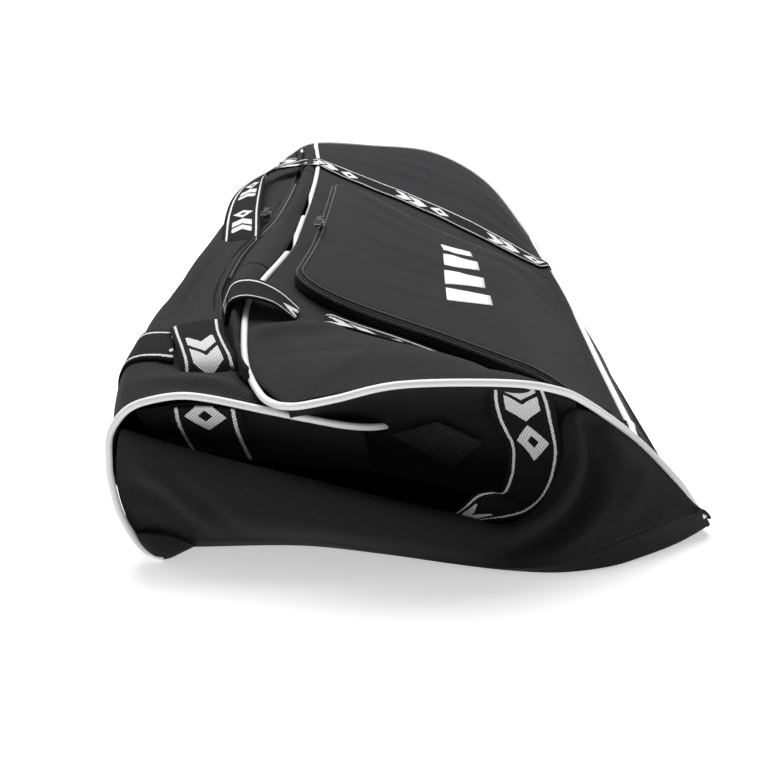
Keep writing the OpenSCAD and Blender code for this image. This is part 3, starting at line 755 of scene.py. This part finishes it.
def left_shape(points, s, p):
    """Folds of the left wall (in Y and Z) and of its crown (in X and Y)."""
    edge = ease(s / 0.3) * ease((LAST - s) / 0.3) * ease((1 - p) / 0.04)
    height = 1.8 * cloth_noise(points, 85.0, 21.0) + 0.6 * cloth_noise(points, 33.0, 4.0)
    side = with_folds(0, points, (
        ([[-330, 118], [-200, 95], [-60, 60]], 12, -5.0),
        ([[-150, 125], [20, 95], [160, 40]], 14, 4.0),
        ([[90, 135], [220, 100], [330, 30]], 12, -5.0),
        ([[-400, 95], [-300, 70], [-180, 30]], 10, 3.0)), (1, 2))
    # The last two: a roll of cloth over the near piping and a dip where the grip tucks in
    top = with_folds(0, points, (
        ([[-192, -300], [-194, -200], [-188, -80]], 5, -2.2),
        ([[-182, -270], [-184, -180], [-178, -90]], 4, 1.4),
        ([[-198, -398], [-172, -402], [-140, -405], [-110, -416]], 8, 4.5),
        ([[-192, -370], [-165, -376], [-136, -380]], 9, -4.5)))
    return (height + side + top) * edge


left_panel = cloth_sheet("side_panel_left_cloth", LEFT_SIDE, np.linspace(0.03, 9.97, 230),
                         np.linspace(0, 0.985, 96), -1, left_shape)
finish_piece(left_panel, BODY, "bag", "fabric_body", "side_panel_left")

# ---------------------------------------------------------------- near end


def lip_shape(points, s, p):
    """Creases of the lower end panel, in X and Z: a deep fold under the lip's right end with a
    roll below it, and smaller ones near the two corners."""
    height = 1.2 * cloth_noise(points, 70.0, 31.0) + 0.5 * cloth_noise(points, 26.0, 8.0)
    height = with_folds(height, points, (
        ([[107, 112], [116, 92], [118, 70], [108, 44], [82, 25], [54, 12]], 9, -13.0),
        ([[50, 8], [78, 17], [103, 28], [124, 48]], 6, 4.0),
        ([[-211, 62], [-180, 47], [-160, 20]], 9, -5.0),
        ([[-177, 68], [-153, 50], [-127, 24]], 8, -3.5),
        ([[-196, 76], [-166, 56], [-142, 30]], 7, 2.0),
        ([[150, 62], [146, 46], [130, 34]], 9, 2.0)), (0, 2))
    outer = ease((p - 0.30) / 0.12) * ease((1 - p) / 0.06)
    return height * outer * ease(s / 0.3) * ease((LAST - s) / 0.3)


lower_end = cloth_sheet("end_panel_near_cloth",
                        [LIP_INSIDE, LIP_EDGE, END_MIDDLE, END_SEAM],
                        np.linspace(0, 10, 190), np.linspace(0, 1, 60), -1, lip_shape)
finish_piece(lower_end, END, "bag", "fabric_body", "end_panel_near_lower")

corner = cloth_sheet("corner_tuck_cloth", [CORNER_TOP, CORNER_LOW], np.linspace(0, 5, 40),
                     np.linspace(0, 1, 14), -1,
                     lambda q, s, p: 3.0 * np.sin(np.pi * p) * np.sin(np.pi * s / 5))
finish_piece(corner, BOARD, "bag", "fabric_body")
under = cloth_sheet("base_edge_near_cloth", [END_SEAM, END_UNDER],
                    np.linspace(0, 10, 150), np.linspace(0, 1, 10), -1)
finish_piece(under, BOARD, "bag", "board")


def roof_shape(points, s, p):
    """Unevenness of the lining, none along its sewn upper edge."""
    return 1.5 * cloth_noise(points, 45.0, 12.0) * ease(p / 0.2)


recess_left = cloth_sheet("recess_left_cloth", RECESS_LEFT, np.linspace(0, 3, 70),
                          np.linspace(0, 1, 40), -1, roof_shape)
finish_piece(recess_left, RECESS_CLOTH_PAINTED_SHADE, "bag", "fabric_body", "end_panel_near_inner")
recess_roof = cloth_sheet("recess_right_cloth", RECESS_ROOF, np.linspace(0, 6, 90),
                          np.linspace(0, 1, 50), -1, roof_shape)
finish_piece(recess_roof, RECESS_CLOTH_PAINTED_SHADE, "bag", "fabric_body")

# ---------------------------------------------------------------- far end and base

far_end = cloth_sheet("end_panel_far_cloth", [FAR_BOTTOM, FAR_MIDDLE, FAR_TOP],
                      np.linspace(0, 7, 110), np.linspace(0, 1, 50), 1,
                      lambda q, s, p: 1.6 * cloth_noise(q, 70.0, 6.0) * np.sin(np.pi * p))
finish_piece(far_end, END, "bag", "fabric_body", "end_panel_far")

base = cloth_sheet("base_board_cloth", [BASE_NEAR, BASE_MIDDLE, BASE_FAR], np.linspace(0, 6, 60),
                   np.linspace(0, 1, 60), -1, lambda q, s, p: 0.5 * cloth_noise(q, 60.0, 17.0),
                   thickness=2.2)
finish_piece(base, BOARD, "bag", "board", "bottom_panel")

# ---------------------------------------------------------------- piping

RIDGE_STATIONS = np.linspace(0.92, 9.98, 160)
RIDGE_CORD = curve_at(RIDGE, RIDGE_STATIONS)
for middle, half in ((6.2, 0.36), (5.06, 0.24)):
    # The slack panels close over the piping here
    RIDGE_CORD[:, 2] -= 8.5 * ease((half - abs(RIDGE_STATIONS - middle)) / 0.12)

for name, path, rows, from_s, to_s in (
        ("piping_near_left", PIPING_NEAR_LEFT, 150, 0, None),
        ("piping_near_right", PIPING_NEAR_RIGHT, 150, 0, None),
        ("piping_far", PIPING_FAR, 160, 0, None),
        ("piping_ridge", RIDGE_CORD, 220, 0, None),
        ("piping_lower_right", LOWER_SEAM, 180, 0.05, 9.97)):
    cord = piping(name + "_vinyl", path, rows, from_s=from_s, to_s=to_s)
    finish_piece(cord, PIPING, "bag", "piping", name)

# ---------------------------------------------------------------- straps

LEFT_FAR_STATION = 8.6
for name, lines, station, parts, looks in (
        ("strap_right_near", RIGHT_SIDE, 3.0, np.linspace(0.0, 0.76, 80),
         {"shape": under_fold, "phase": 70}),
        ("strap_right_far", RIGHT_SIDE, 8.05, np.linspace(0.0, 0.985, 110),
         {"lift": 1.8, "ripple": 0.5, "shape": right_shape, "phase": 12}),
        ("strap_left_near", LEFT_SIDE, 1.6, np.linspace(0.0, 0.72, 90),
         {"shape": left_shape, "phase": 110}),
        ("strap_left_far", LEFT_SIDE, LEFT_FAR_STATION, np.linspace(0.0, 0.66, 80),
         {"shape": left_shape}),
        ("end_strap_left", RECESS_LEFT, 0.9, np.linspace(0.02, 0.9, 40),
         {"lift": 2.0, "phase": 56})):
    strap = sewn_strap(name + "_web", lines, station, parts, -1, **looks)
    finish_piece(strap, WEB, "bag", "webbing", name)

# The right strap in the opening hangs free, curls left at its foot and ends in a fold
END_STRAP_LEFT_EDGE = [
    [40, -437, 136], [42, -420, 119], [46, -411, 103], [51, -407, 92], [57, -405, 80],
    [58, -406, 68], [57, -409, 58], [52, -414, 48], [43, -418, 51], [34, -421, 50],
    [24, -425, 41], [12, -429, 33]]
END_STRAP_RIGHT_EDGE = [
    [79, -431, 132], [85, -423, 118], [89, -417, 104], [92, -414, 92], [94, -414, 80],
    [93, -416, 68], [90, -419, 57], [83, -423, 46], [72, -428, 38], [58, -431, 35],
    [42, -432, 34], [24, -433, 32]]
strap = ribbon("end_strap_right_web", END_STRAP_LEFT_EDGE, END_STRAP_RIGHT_EDGE, 110, crown=-2.0,
               phase=4)
finish_piece(strap, WEB, "bag", "webbing", "end_strap_right")

# ---------------------------------------------------------------- pocket

POCKET_FROM, POCKET_TO = 3.8, 7.4
POCKET_TOP, POCKET_HEM = 0.075, 0.95
POCKET_DEPTH, HEM_DEPTH = 15.0, 3.0
OUTLINE_ROWS = 420
TOOTH_PITCH = 1.9
FRONT_INSET = 3.4
FRONT_LENGTH, FRONT_WIDTH = 420, 270


def pocket_height(part, station):
    """Height of the pocket's front above the panel, thinner towards the hem and the far edge."""
    depth = POCKET_DEPTH * (1 - 0.45 * ease((station - 6.3) / 1.1))
    return depth + (HEM_DEPTH - depth) * ease((part - 0.72) / (POCKET_HEM - 0.72))


def pocket_corner(part):
    """Stations by which the rounded upper corners step in at one part."""
    t = np.clip((POCKET_TOP + 0.16 - part) / 0.16, 0, 1)
    return 0.45 * (1 - np.sqrt(1 - t * t))


def pocket_outline():
    """Stations and parts up the near edge, along the top and down the far edge."""
    rise = POCKET_TOP + (POCKET_HEM - POCKET_TOP) * np.linspace(1, 0, 120) ** 2
    near = np.stack([POCKET_FROM + pocket_corner(rise), rise], -1)
    far = np.stack([POCKET_TO - pocket_corner(rise), rise], -1)[::-1]
    top = np.linspace(near[-1], far[0], 60)[1:-1]
    flat = np.concatenate([near, top, far])
    solid = sheet_at(RIGHT_SIDE, flat[:, 0], flat[:, 1])
    lengths = arc_lengths(solid[:, None], 0)[:, 0]
    wanted = np.linspace(0, lengths[-1], OUTLINE_ROWS)
    return np.stack([np.interp(wanted, lengths, flat[:, k]) for k in (0, 1)], -1)


OUTLINE = pocket_outline()
OUTLINE_BASE = sheet_at(RIGHT_SIDE, OUTLINE[:, 0], OUTLINE[:, 1])
OUTLINE_UP = sheet_normal(RIGHT_SIDE, OUTLINE[:, 0], OUTLINE[:, 1], -1)
OUTLINE_ALONG = unit(np.gradient(OUTLINE_BASE, axis=0))
OUTLINE_IN = unit(np.cross(OUTLINE_UP, OUTLINE_ALONG))
if OUTLINE_IN[0] @ (OUTLINE_BASE[-1] - OUTLINE_BASE[0]) < 0:
    OUTLINE_IN = -OUTLINE_IN
OUTLINE_HEIGHT = pocket_height(OUTLINE[:, 1], OUTLINE[:, 0])


def outline_points(section):
    """Points along the outline for a section of (inset, height, share of the wall's height)."""
    columns = [OUTLINE_BASE + inset * OUTLINE_IN
               + (height + share * OUTLINE_HEIGHT)[:, None] * OUTLINE_UP
               for inset, height, share in section]
    return np.stack(columns, axis=1)


def outline_cord(name, inset, drop, radius):
    """Round binding along the outline, a little below the top of the wall."""
    angle = np.linspace(0, 2 * np.pi, 8, endpoint=False)
    section = [(inset + radius * math.cos(a), radius * math.sin(a) - drop, 1) for a in angle]
    return grid_object(name, outline_points(section), closed=True)


def teeth(name, centre, along, across, up, length=2.5, pitch=TOOTH_PITCH):
    """A row of zip coil teeth: one rounded link every pitch along a path of points."""
    path = np.concatenate([centre, along, across, up], axis=1)
    lengths = arc_lengths(centre[:, None], 0)[:, 0]
    count = int(lengths[-1] / pitch)
    wanted = (np.arange(count) + 0.5) * pitch
    rows = np.stack([np.interp(wanted, lengths, path[:, k]) for k in range(path.shape[1])], -1)
    vertices, faces = [], []
    section = ((-0.42, 0.0), (-0.30, 0.62), (0.30, 0.62), (0.42, 0.0))
    for row in rows:
        c, a, o, u = row[0:3], row[3:6], row[6:9], row[9:12]
        start = len(vertices)
        for reach, shrink in ((-0.5, 0.75), (-0.2, 1.0), (0.25, 1.0), (0.5, 0.6)):
            for x, z in section:
                vertices.append(c + o * length * reach + a * x * pitch * shrink
                                + u * (z * shrink * 1.7))
        faces += grid_faces(4, 4, start)
        faces.append((start, start + 3, start + 2, start + 1))
        faces.append((start + 12, start + 13, start + 14, start + 15))
    return mesh_object(name, vertices, faces)


# The gusset wall is given the very dark tape cloth, a painted shade on the pocket's side wall
gusset = grid_object("pocket_gusset_cloth", outline_points(
    [(1.5, -0.6, 0), (-0.6, 0, 0.2), (-1.3, 0, 0.45), (-1.0, 0, 0.7), (-0.2, -3.6, 1),
     (0.2, -2.4, 1)]))
finish_piece(thicken(gusset, 1.2), TAPE_CLOTH_AND_PAINTED_SHADE, "bag", "fabric_body", "pocket_gusset")
# The welt's lighter cloth is a painted highlight along the pocket's rolled edge
welt = outline_cord("pocket_welt", 0.6, 2.6, 0.9)
finish_piece(welt, BINDING_PAINTED_HIGHLIGHT, "bag", "fabric_body")
tape = grid_object("pocket_zip_tape", outline_points(
    [(0.4, -2.7, 1), (1.6, -1.9, 1), (3.4, -1.8, 1)]))
finish_piece(thicken(tape, TAPE_THICKNESS), TAPE_CLOTH_AND_PAINTED_SHADE, "bag", "zip_tape", "pocket_zip")
outer_teeth = teeth("pocket_teeth_outer", outline_points([(-0.7, -4.6, 1)])[:, 0],
                    OUTLINE_ALONG, OUTLINE_UP, -OUTLINE_IN, length=3.2, pitch=2.2)
finish_piece(outer_teeth, COIL, "bag", "zip_tape")
# The inner row stops short of the hem, where the front turns
clear = slice(8, -8)
inner_teeth = teeth("pocket_teeth_inner", outline_points([(3.6, -1.3, 1)])[clear, 0],
                    OUTLINE_ALONG[clear], OUTLINE_IN[clear], OUTLINE_UP[clear])
finish_piece(inner_teeth, COIL, "pocket_front", "zip_tape")


def locate(target, station, part):
    """Stations and parts of the right side panel that lie nearest to the targets."""
    s, p = station.copy(), part.copy()
    for _ in range(4):
        here = sheet_at(RIGHT_SIDE, s, p)
        ds = (sheet_at(RIGHT_SIDE, s + 0.02, p) - sheet_at(RIGHT_SIDE, s - 0.02, p)) / 0.04
        dp = (sheet_at(RIGHT_SIDE, s, p + 0.01) - sheet_at(RIGHT_SIDE, s, p - 0.01)) / 0.02
        gap = target - here
        a, b, c = (ds * ds).sum(-1), (ds * dp).sum(-1), (dp * dp).sum(-1)
        e, f = (ds * gap).sum(-1), (dp * gap).sum(-1)
        det = a * c - b * b
        s = s + (c * e - b * f) / det
        p = p + (a * f - b * e) / det
    return s, p


def spread(count):
    """Steps from 0 to 1 that are closer together near both ends."""
    t = np.linspace(0, 1, count)
    return t + 0.82 * (ease(t) - t)


def pocket_front_grid():
    """Stations and parts of the pocket's front, a patch stretched over the inset outline."""
    s, p = locate(OUTLINE_BASE + FRONT_INSET * OUTLINE_IN, OUTLINE[:, 0], OUTLINE[:, 1])
    border = np.stack([s, p], -1)
    top = np.flatnonzero(OUTLINE[:, 1] < POCKET_TOP + 0.045)
    near, far = border[:top[0] + 1], border[top[-1]:]
    u, v = spread(110), spread(76)

    def side(points, where):
        order = np.linspace(0, 1, len(points))
        return np.stack([np.interp(where, order, points[:, k]) for k in (0, 1)], -1)

    left, right = side(near[::-1], v), side(far, v)
    high, low = side(border[top[0]:top[-1] + 1], u), side(np.array([near[0], far[-1]]), u)
    uu, vv = u[:, None, None], v[None, :, None]
    patch = ((1 - uu) * left[None] + uu * right[None] + (1 - vv) * high[:, None]
             + vv * low[:, None] - (1 - uu) * (1 - vv) * high[0] - uu * (1 - vv) * high[-1]
             - (1 - uu) * vv * low[0] - uu * vv * low[-1])
    return patch[..., 0], patch[..., 1], u, v


def front_height(points, s, p, u, v):
    """The front's height above the panel: rolled edges, slack middle and faint creases."""
    edge = np.minimum(np.minimum(u, 1 - u)[:, None] * FRONT_LENGTH,
                      v[None, :] * FRONT_WIDTH)
    height = pocket_height(p, s) - 1.9 * np.exp(-(edge / 2.2) ** 2)
    slack = ease(edge / 45)
    height = height + slack * (1.5 * cloth_noise(points, 90.0, 14.0)
                               + 0.5 * cloth_noise(points, 34.0, 5.0))
    for crease, width, rise in (([[-98, 150], [-55, 100], [-8, 45], [20, 0]], 6, 3.2),
                                ([[-80, 165], [-35, 120], [15, 80], [45, 30]], 5, -2.4),
                                ([[-100, 70], [-50, 25], [5, -30], [36, -75]], 7, 2.6),
                                ([[-102, -10], [-55, -60], [5, -95], [40, -125]], 7, 1.8),
                                ([[-90, -90], [-40, -130], [20, -160]], 9, -1.6),
                                ([[20, 100], [75, 70], [120, 25]], 6, -2.2),
                                ([[30, 60], [80, 35], [125, -15]], 6, 3.0),
                                ([[60, 20], [105, -15], [140, -60]], 6, 2.4),
                                ([[85, -40], [115, -75], [138, -120]], 7, -1.6),
                                ([[-60, -185], [0, -205], [70, -235]], 7, 1.1)):
        height += slack * fold_height(points, crease, width, rise)
    return height


def pocket_front():
    """Points of the pocket's front and of the panel right under them."""
    s, p, u, v = pocket_front_grid()
    flat = sheet_at(RIGHT_SIDE, s, p)
    height = front_height(flat, s, p, u, v)
    return flat + height[..., None] * sheet_normal(RIGHT_SIDE, s, p, -1), flat


FRONT, UNDER_FRONT = pocket_front()
front = grid_object("pocket_front_cloth", FRONT)
finish_piece(thicken(front, CLOTH_THICKNESS), POCKET, "pocket_front", "fabric_body",
             "pocket_face")


def on_front(points, lift):
    """Points just above the pocket's front, over given points of the panel under it."""
    s, p = locate(points, np.full(points.shape[:-1], 5.4), np.full(points.shape[:-1], 0.55))
    flat = sheet_at(RIGHT_SIDE, s, p)
    known = UNDER_FRONT.reshape(-1, 3)
    raised = np.linalg.norm(FRONT.reshape(-1, 3) - known, axis=1)
    gaps = np.linalg.norm(flat.reshape(-1, 1, 3) - known[None], axis=2)
    nearest = np.argsort(gaps, axis=1)[:, :4]
    weight = 1 / (np.take_along_axis(gaps, nearest, 1) + 0.2) ** 2
    height = (raised[nearest] * weight).sum(1) / weight.sum(1)
    normal = sheet_normal(RIGHT_SIDE, s, p, -1)
    return flat + (height.reshape(s.shape) + lift)[..., None] * normal


def printed_bars():
    """A plain mark of four slanted bars, one after another along the middle of the front."""
    vertices, faces = [], []
    cuts = 9
    steps = np.linspace(0, 1, cuts)
    bar_length, bar_pitch, slant = 40.0, 52.0, 16.0
    for index in range(4):
        start_y = -212 + bar_pitch * index
        a, b = np.meshgrid(steps, steps, indexing="ij")
        x = 20 + 40 * b - 3 * index * b
        y = start_y + bar_length * a * (1 - 0.25 * b) + slant * b
        z = 118 - 10 * b
        block = on_front(np.stack([x, y, z], -1), 0.35).reshape(-1, 3)
        faces += grid_faces(cuts, cuts, len(vertices))
        vertices.extend(block)
    return mesh_object("pocket_print_ink", vertices, faces)


ink = printed_bars()
finish_piece(thicken(ink, 0.25, 1.0), INK, "pocket_front", "print", "pocket_print")

# ---------------------------------------------------------------- zips and sliders


def zip_path(offset, lift, from_s=4.3, to_s=7.3, rows=260):
    """A line beside the groove, by default along the part that opens."""
    s = np.linspace(from_s, to_s, rows)
    return curve_at(GROOVE, s) + np.array([offset, 0.0, lift])


zip_along = unit(np.gradient(zip_path(0, 0), axis=0))
zip_across = unit(np.cross(zip_along, np.array([0.0, 0.0, 1.0])))
zip_up = np.cross(zip_across, zip_along)
tape = grid_object("main_zip_tape", np.stack([zip_path(x, z, 0.9, 9.75, 500) for x, z in
                                              ((-7.5, -1.2), (-4.5, -1.8), (0, -2.0),
                                               (4.5, -1.8), (7.0, -1.4))], axis=1))
finish_piece(thicken(tape, TAPE_THICKNESS), TAPE_CLOTH_AND_PAINTED_SHADE, "bag", "zip_tape", "main_zip")
for name, offset in (("main_teeth_left", -1.2), ("main_teeth_right", 1.2)):
    row = teeth(name, zip_path(offset, -1.9), zip_along, zip_across, zip_up, 3.0, 2.3)
    finish_piece(row, COIL, "bag", "zip_tape")


def heading_frame(heading):
    """Directions to the side, along and up for a level heading."""
    along = unit(np.array(heading, float))
    side = unit(np.cross(along, np.array([0.0, 0.0, 1.0])))
    return side, along, np.cross(side, along)


def placed(points, place, heading):
    """Points of a fitting, moved to its place and turned to its heading."""
    side, along, up = heading_frame(heading)
    points = np.asarray(points, float)
    return (np.array(place, float) + points[:, :1] * side + points[:, 1:2] * along
            + points[:, 2:] * up)


def ring_loft(name, rings, place, heading, bevel=0.35):
    """Solid from a stack of matching closed rings."""
    count = len(rings[0])
    vertices = [p for ring in rings for p in ring]
    faces = [tuple(reversed(range(count))),
             tuple(range(count * (len(rings) - 1), count * len(rings)))]
    faces += grid_faces(len(rings), count, closed=True)
    obj = mesh_object(name, placed(vertices, place, heading), faces,
                      np.array(vertices)[:, :2] * MM)
    modifier = obj.modifiers.new("bevel", "BEVEL")
    modifier.width = bevel * MM
    modifier.segments = 2
    return obj


def slider_outline(scale, z):
    """Plan of a slider: wide shoulders, a waist and a narrower tail."""
    right = [(2.9, 6.8), (3.4, 5.6), (3.3, 1.0), (3.9, -2.5), (4.6, -5.0), (3.6, -6.8),
             (1.3, -5.6)]
    right = [(x * scale, y) for x, y in right]
    left = [(-x, y) for x, y in reversed(right)]
    return [(x, y, z) for x, y in right + left]


def slider_body(name, place, heading, body):
    """Two plates with a gap for the coil between them, and the bridge on top."""
    rings = [slider_outline(scale, z) for scale, z in (
        (0.92, -0.2), (1.0, 0.4), (1.0, 1.3), (0.8, 1.6), (0.8, 2.5), (1.0, 2.8), (1.0, 3.6),
        (0.9, 4.0))]
    plates = ring_loft(name, rings, place, heading)
    finish_piece(plates, METAL, body, "slider_metal", body)
    arch = [(0, -4.6, 3.2), (0, -4.4, 5.6), (0, -2.6, 7.0), (0, 0, 7.3), (0, 2.6, 7.0),
            (0, 4.4, 5.6), (0, 4.6, 3.2)]
    bridge = piping(name + "_bridge", placed(arch, place, heading), 26, 0.95)
    finish_piece(bridge, METAL, body, "slider_metal")


def puller_rings(height):
    """Plan of the puller: an eye, a neck and a broad moulded grip."""
    right = [(1.0, -0.6), (3.4, -2.6), (3.6, -5.4), (2.3, -9.0), (2.2, -14.0), (3.4, -17.5),
             (3.9, -25.0), (3.7, -33.0), (2.4, -35.6)]
    left = [(-x, y) for x, y in reversed(right)]
    return [(x, y, height) for x, y in right + left]


def puller_body(name, place, heading, body):
    """The moulded grip with five ribs across it."""
    rings = [puller_rings(z) for z in (-1.0, -0.5, 0.5, 1.0)]
    grip = ring_loft(name, rings, place, heading, 0.5)
    finish_piece(grip, PULLER, body, "puller_rubber", body)
    for index in range(5):
        y = -20.5 - 2.6 * index
        bar = [(-2.6, y, 1.0), (-1.2, y, 1.35), (1.2, y, 1.35), (2.6, y, 1.0)]
        rib = piping(name + "_rib_%d" % index, placed(bar, place, heading), 8, 0.45)
        finish_piece(rib, PULLER, body, "puller_rubber")


PULLER_HINGE_HEIGHT = 8.4
POCKET_SLIDER, POCKET_RUN = (-94.8, -70.0, 163.6), (4.3, 240, 10.4)
MAIN_SLIDER, MAIN_RUN = (-156.5, 20.0, 153.8), (0, 160, 5)
for prefix, place, heading in (("pocket", POCKET_SLIDER, POCKET_RUN),
                               ("main", MAIN_SLIDER, MAIN_RUN)):
    slider_body(prefix + "_slider_metal", place, heading, prefix + "_slider")
    hinge = placed([(0, 0, PULLER_HINGE_HEIGHT)], place, heading)[0]
    puller_body(prefix + "_puller_grip", hinge, heading, prefix + "_puller")

# Binding along the free edge of the left panel, beside the zip, in the lighter cloth: a painted
# highlight along the edge
binding = piping("zip_edge_binding", sheet_at(LEFT_SIDE, np.linspace(1.0, 9.6, 120), 0.985),
                 260, 1.15)
finish_piece(binding, BINDING_PAINTED_HIGHLIGHT, "bag", "fabric_body")

# ---------------------------------------------------------------- handles

# Right handle: over the ridge, down into the groove, out again on the left shoulder
HANDLE_NEAR_EDGE = [
    [-98, -312, 142], [-114, -303, 151], [-128, -304, 156], [-140, -305, 157],
    [-149, -304, 152], [-152, -308, 140], [-153, -306, 126], [-176, -282, 114],
    [-190, -235, 112], [-194, -180, 112], [-192, -110, 116], [-192, -75, 132],
    [-194, -50, 146], [-201, 17, 153], [-206, 102, 156], [-200, 165, 160],
    [-185, 210, 165], [-172, 243, 168], [-156, 268, 170], [-140, 282, 173], [-122, 292, 172]]
HANDLE_FAR_EDGE = [
    [-98, -268, 138], [-113, -262, 150], [-128, -260, 158], [-141, -258, 160],
    [-152, -258, 157], [-158, -262, 147], [-163, -262, 130], [-160, -238, 120],
    [-158, -210, 122], [-158, -165, 124], [-156, -115, 128], [-154, -85, 140],
    [-155, -58, 153], [-164, 21, 161], [-172, 110, 165], [-177, 180, 169],
    [-172, 212, 171], [-158, 222, 172], [-142, 228, 173], [-128, 236, 173], [-116, 246, 170]]
handle = ribbon("handle_right_web", HANDLE_NEAR_EDGE, HANDLE_FAR_EDGE, 200, crown=1.5,
                phase=-72)
finish_piece(handle, WEB, ("bag", "right_handle"), "webbing", "handle_right")

LEFT_GRIP_OUTER = [
    [-191, -322, 136], [-191, -327, 138.5], [-185, -345, 137], [-178, -365, 134],
    [-173, -380, 129], [-172, -388, 119]]
LEFT_GRIP_INNER = [
    [-154, -313, 139], [-153, -318, 143], [-148, -342, 141], [-141, -362, 138],
    [-134, -377, 133], [-130, -386, 122]]
handle = ribbon("handle_left_web", LEFT_GRIP_OUTER, LEFT_GRIP_INNER, 60, crown=2.0,
                phase=100)
finish_piece(handle, WEB, "left_handle", "webbing", "handle_left_near")
rest = sewn_strap("handle_left_far_web", LEFT_SIDE, LEFT_FAR_STATION,
                  np.linspace(0.69, 0.93, 24), -1, lift=2.2)
finish_piece(rest, WEB, "bag", "webbing", "handle_left_far")

# ---------------------------------------------------------------- mesh vent


VENT_CORNERS = np.array([
    [[-23, -394, 82], [20, -386, 54]],
    [[8, -408, 98], [40, -402, 80]]], float)


def vent_points(u, v):
    """Points of the slanted vent, which bellies out of the opening's lining."""
    flat = ((1 - u) * (1 - v) * VENT_CORNERS[0, 0] + (1 - u) * v * VENT_CORNERS[0, 1]
            + u * (1 - v) * VENT_CORNERS[1, 0] + u * v * VENT_CORNERS[1, 1])
    belly = 6.0 * (np.sin(np.pi * u) * np.sin(np.pi * v)) ** 0.7
    return flat + belly * np.array([0.0, -0.9, 0.45])


def net_vent():
    """Knitted net of crossing wavy yarns over the vent in the opening."""
    vertices, faces = [], []
    radius, sides, yarns = 0.42, 5, 17
    t = np.linspace(0, 1, 70)[:, None]
    sway = 0.010 * np.sin(t * np.pi * yarns)
    for family in (0, 1):
        for step in np.linspace(0, 1, yarns):
            across = np.clip(step + sway, 0, 1)
            u, v = (t, across) if family else (across, t)
            ring = tube_points(vent_points(u, v), radius, len(t), sides)
            faces += grid_faces(len(t), sides, len(vertices), closed=True)
            vertices.extend(ring.reshape(-1, 3))
    return mesh_object("mesh_vent_net", vertices, faces)


finish_piece(net_vent(), MESH, "bag", "mesh", "mesh_vent")

# ---------------------------------------------------------------- camera, light and floor


def studio():
    """The camera at the photo's viewpoint, a pale floor, two soft lights and an even world."""
    scene = bpy.context.scene
    camera = bpy.data.objects.new("camera", bpy.data.cameras.new("camera"))
    camera.location = (-0.020, -1.090, 0.381)
    look_down, turn = 20.5, 0.75
    camera.rotation_euler = (math.radians(90 - look_down), 0, math.radians(turn))
    camera.data.lens = 50
    camera.data.sensor_width = 36
    scene.collection.objects.link(camera)
    scene.camera = camera

    floor = bpy.data.objects.new("floor", bpy.data.meshes.new("floor"))
    size = 90.0
    floor.data.from_pydata([(-size, -size, 0), (size, -size, 0), (size, size, 0),
                            (-size, size, 0)], [], [(0, 1, 2, 3)])
    floor.data.materials.append(floor_material())
    scene.collection.objects.link(floor)

    for name, place, aim, size, power in (
            ("key", (-0.15, 0.7, 2.0), (0, 0, 0.1), (2.4, 1.6), 74),
            ("left", (-1.9, 0.1, 1.2), (0, 0, 0.1), (1.0, 1.6), 9)):
        light = bpy.data.lights.new(name, "AREA")
        light.shape = "RECTANGLE"
        light.size, light.size_y = size
        light.energy = power
        lamp = bpy.data.objects.new(name, light)
        lamp.location = place
        lamp.rotation_euler = (Vector(aim) - Vector(place)).to_track_quat("-Z", "Y").to_euler()
        scene.collection.objects.link(lamp)
    world = bpy.data.worlds.new("studio")
    world.use_nodes = True
    background = world.node_tree.nodes["Background"]
    background.inputs["Color"].default_value = (1, 1, 1, 1)
    background.inputs["Strength"].default_value = 0.26
    scene.world = world
    scene.view_settings.view_transform = "Standard"


studio()
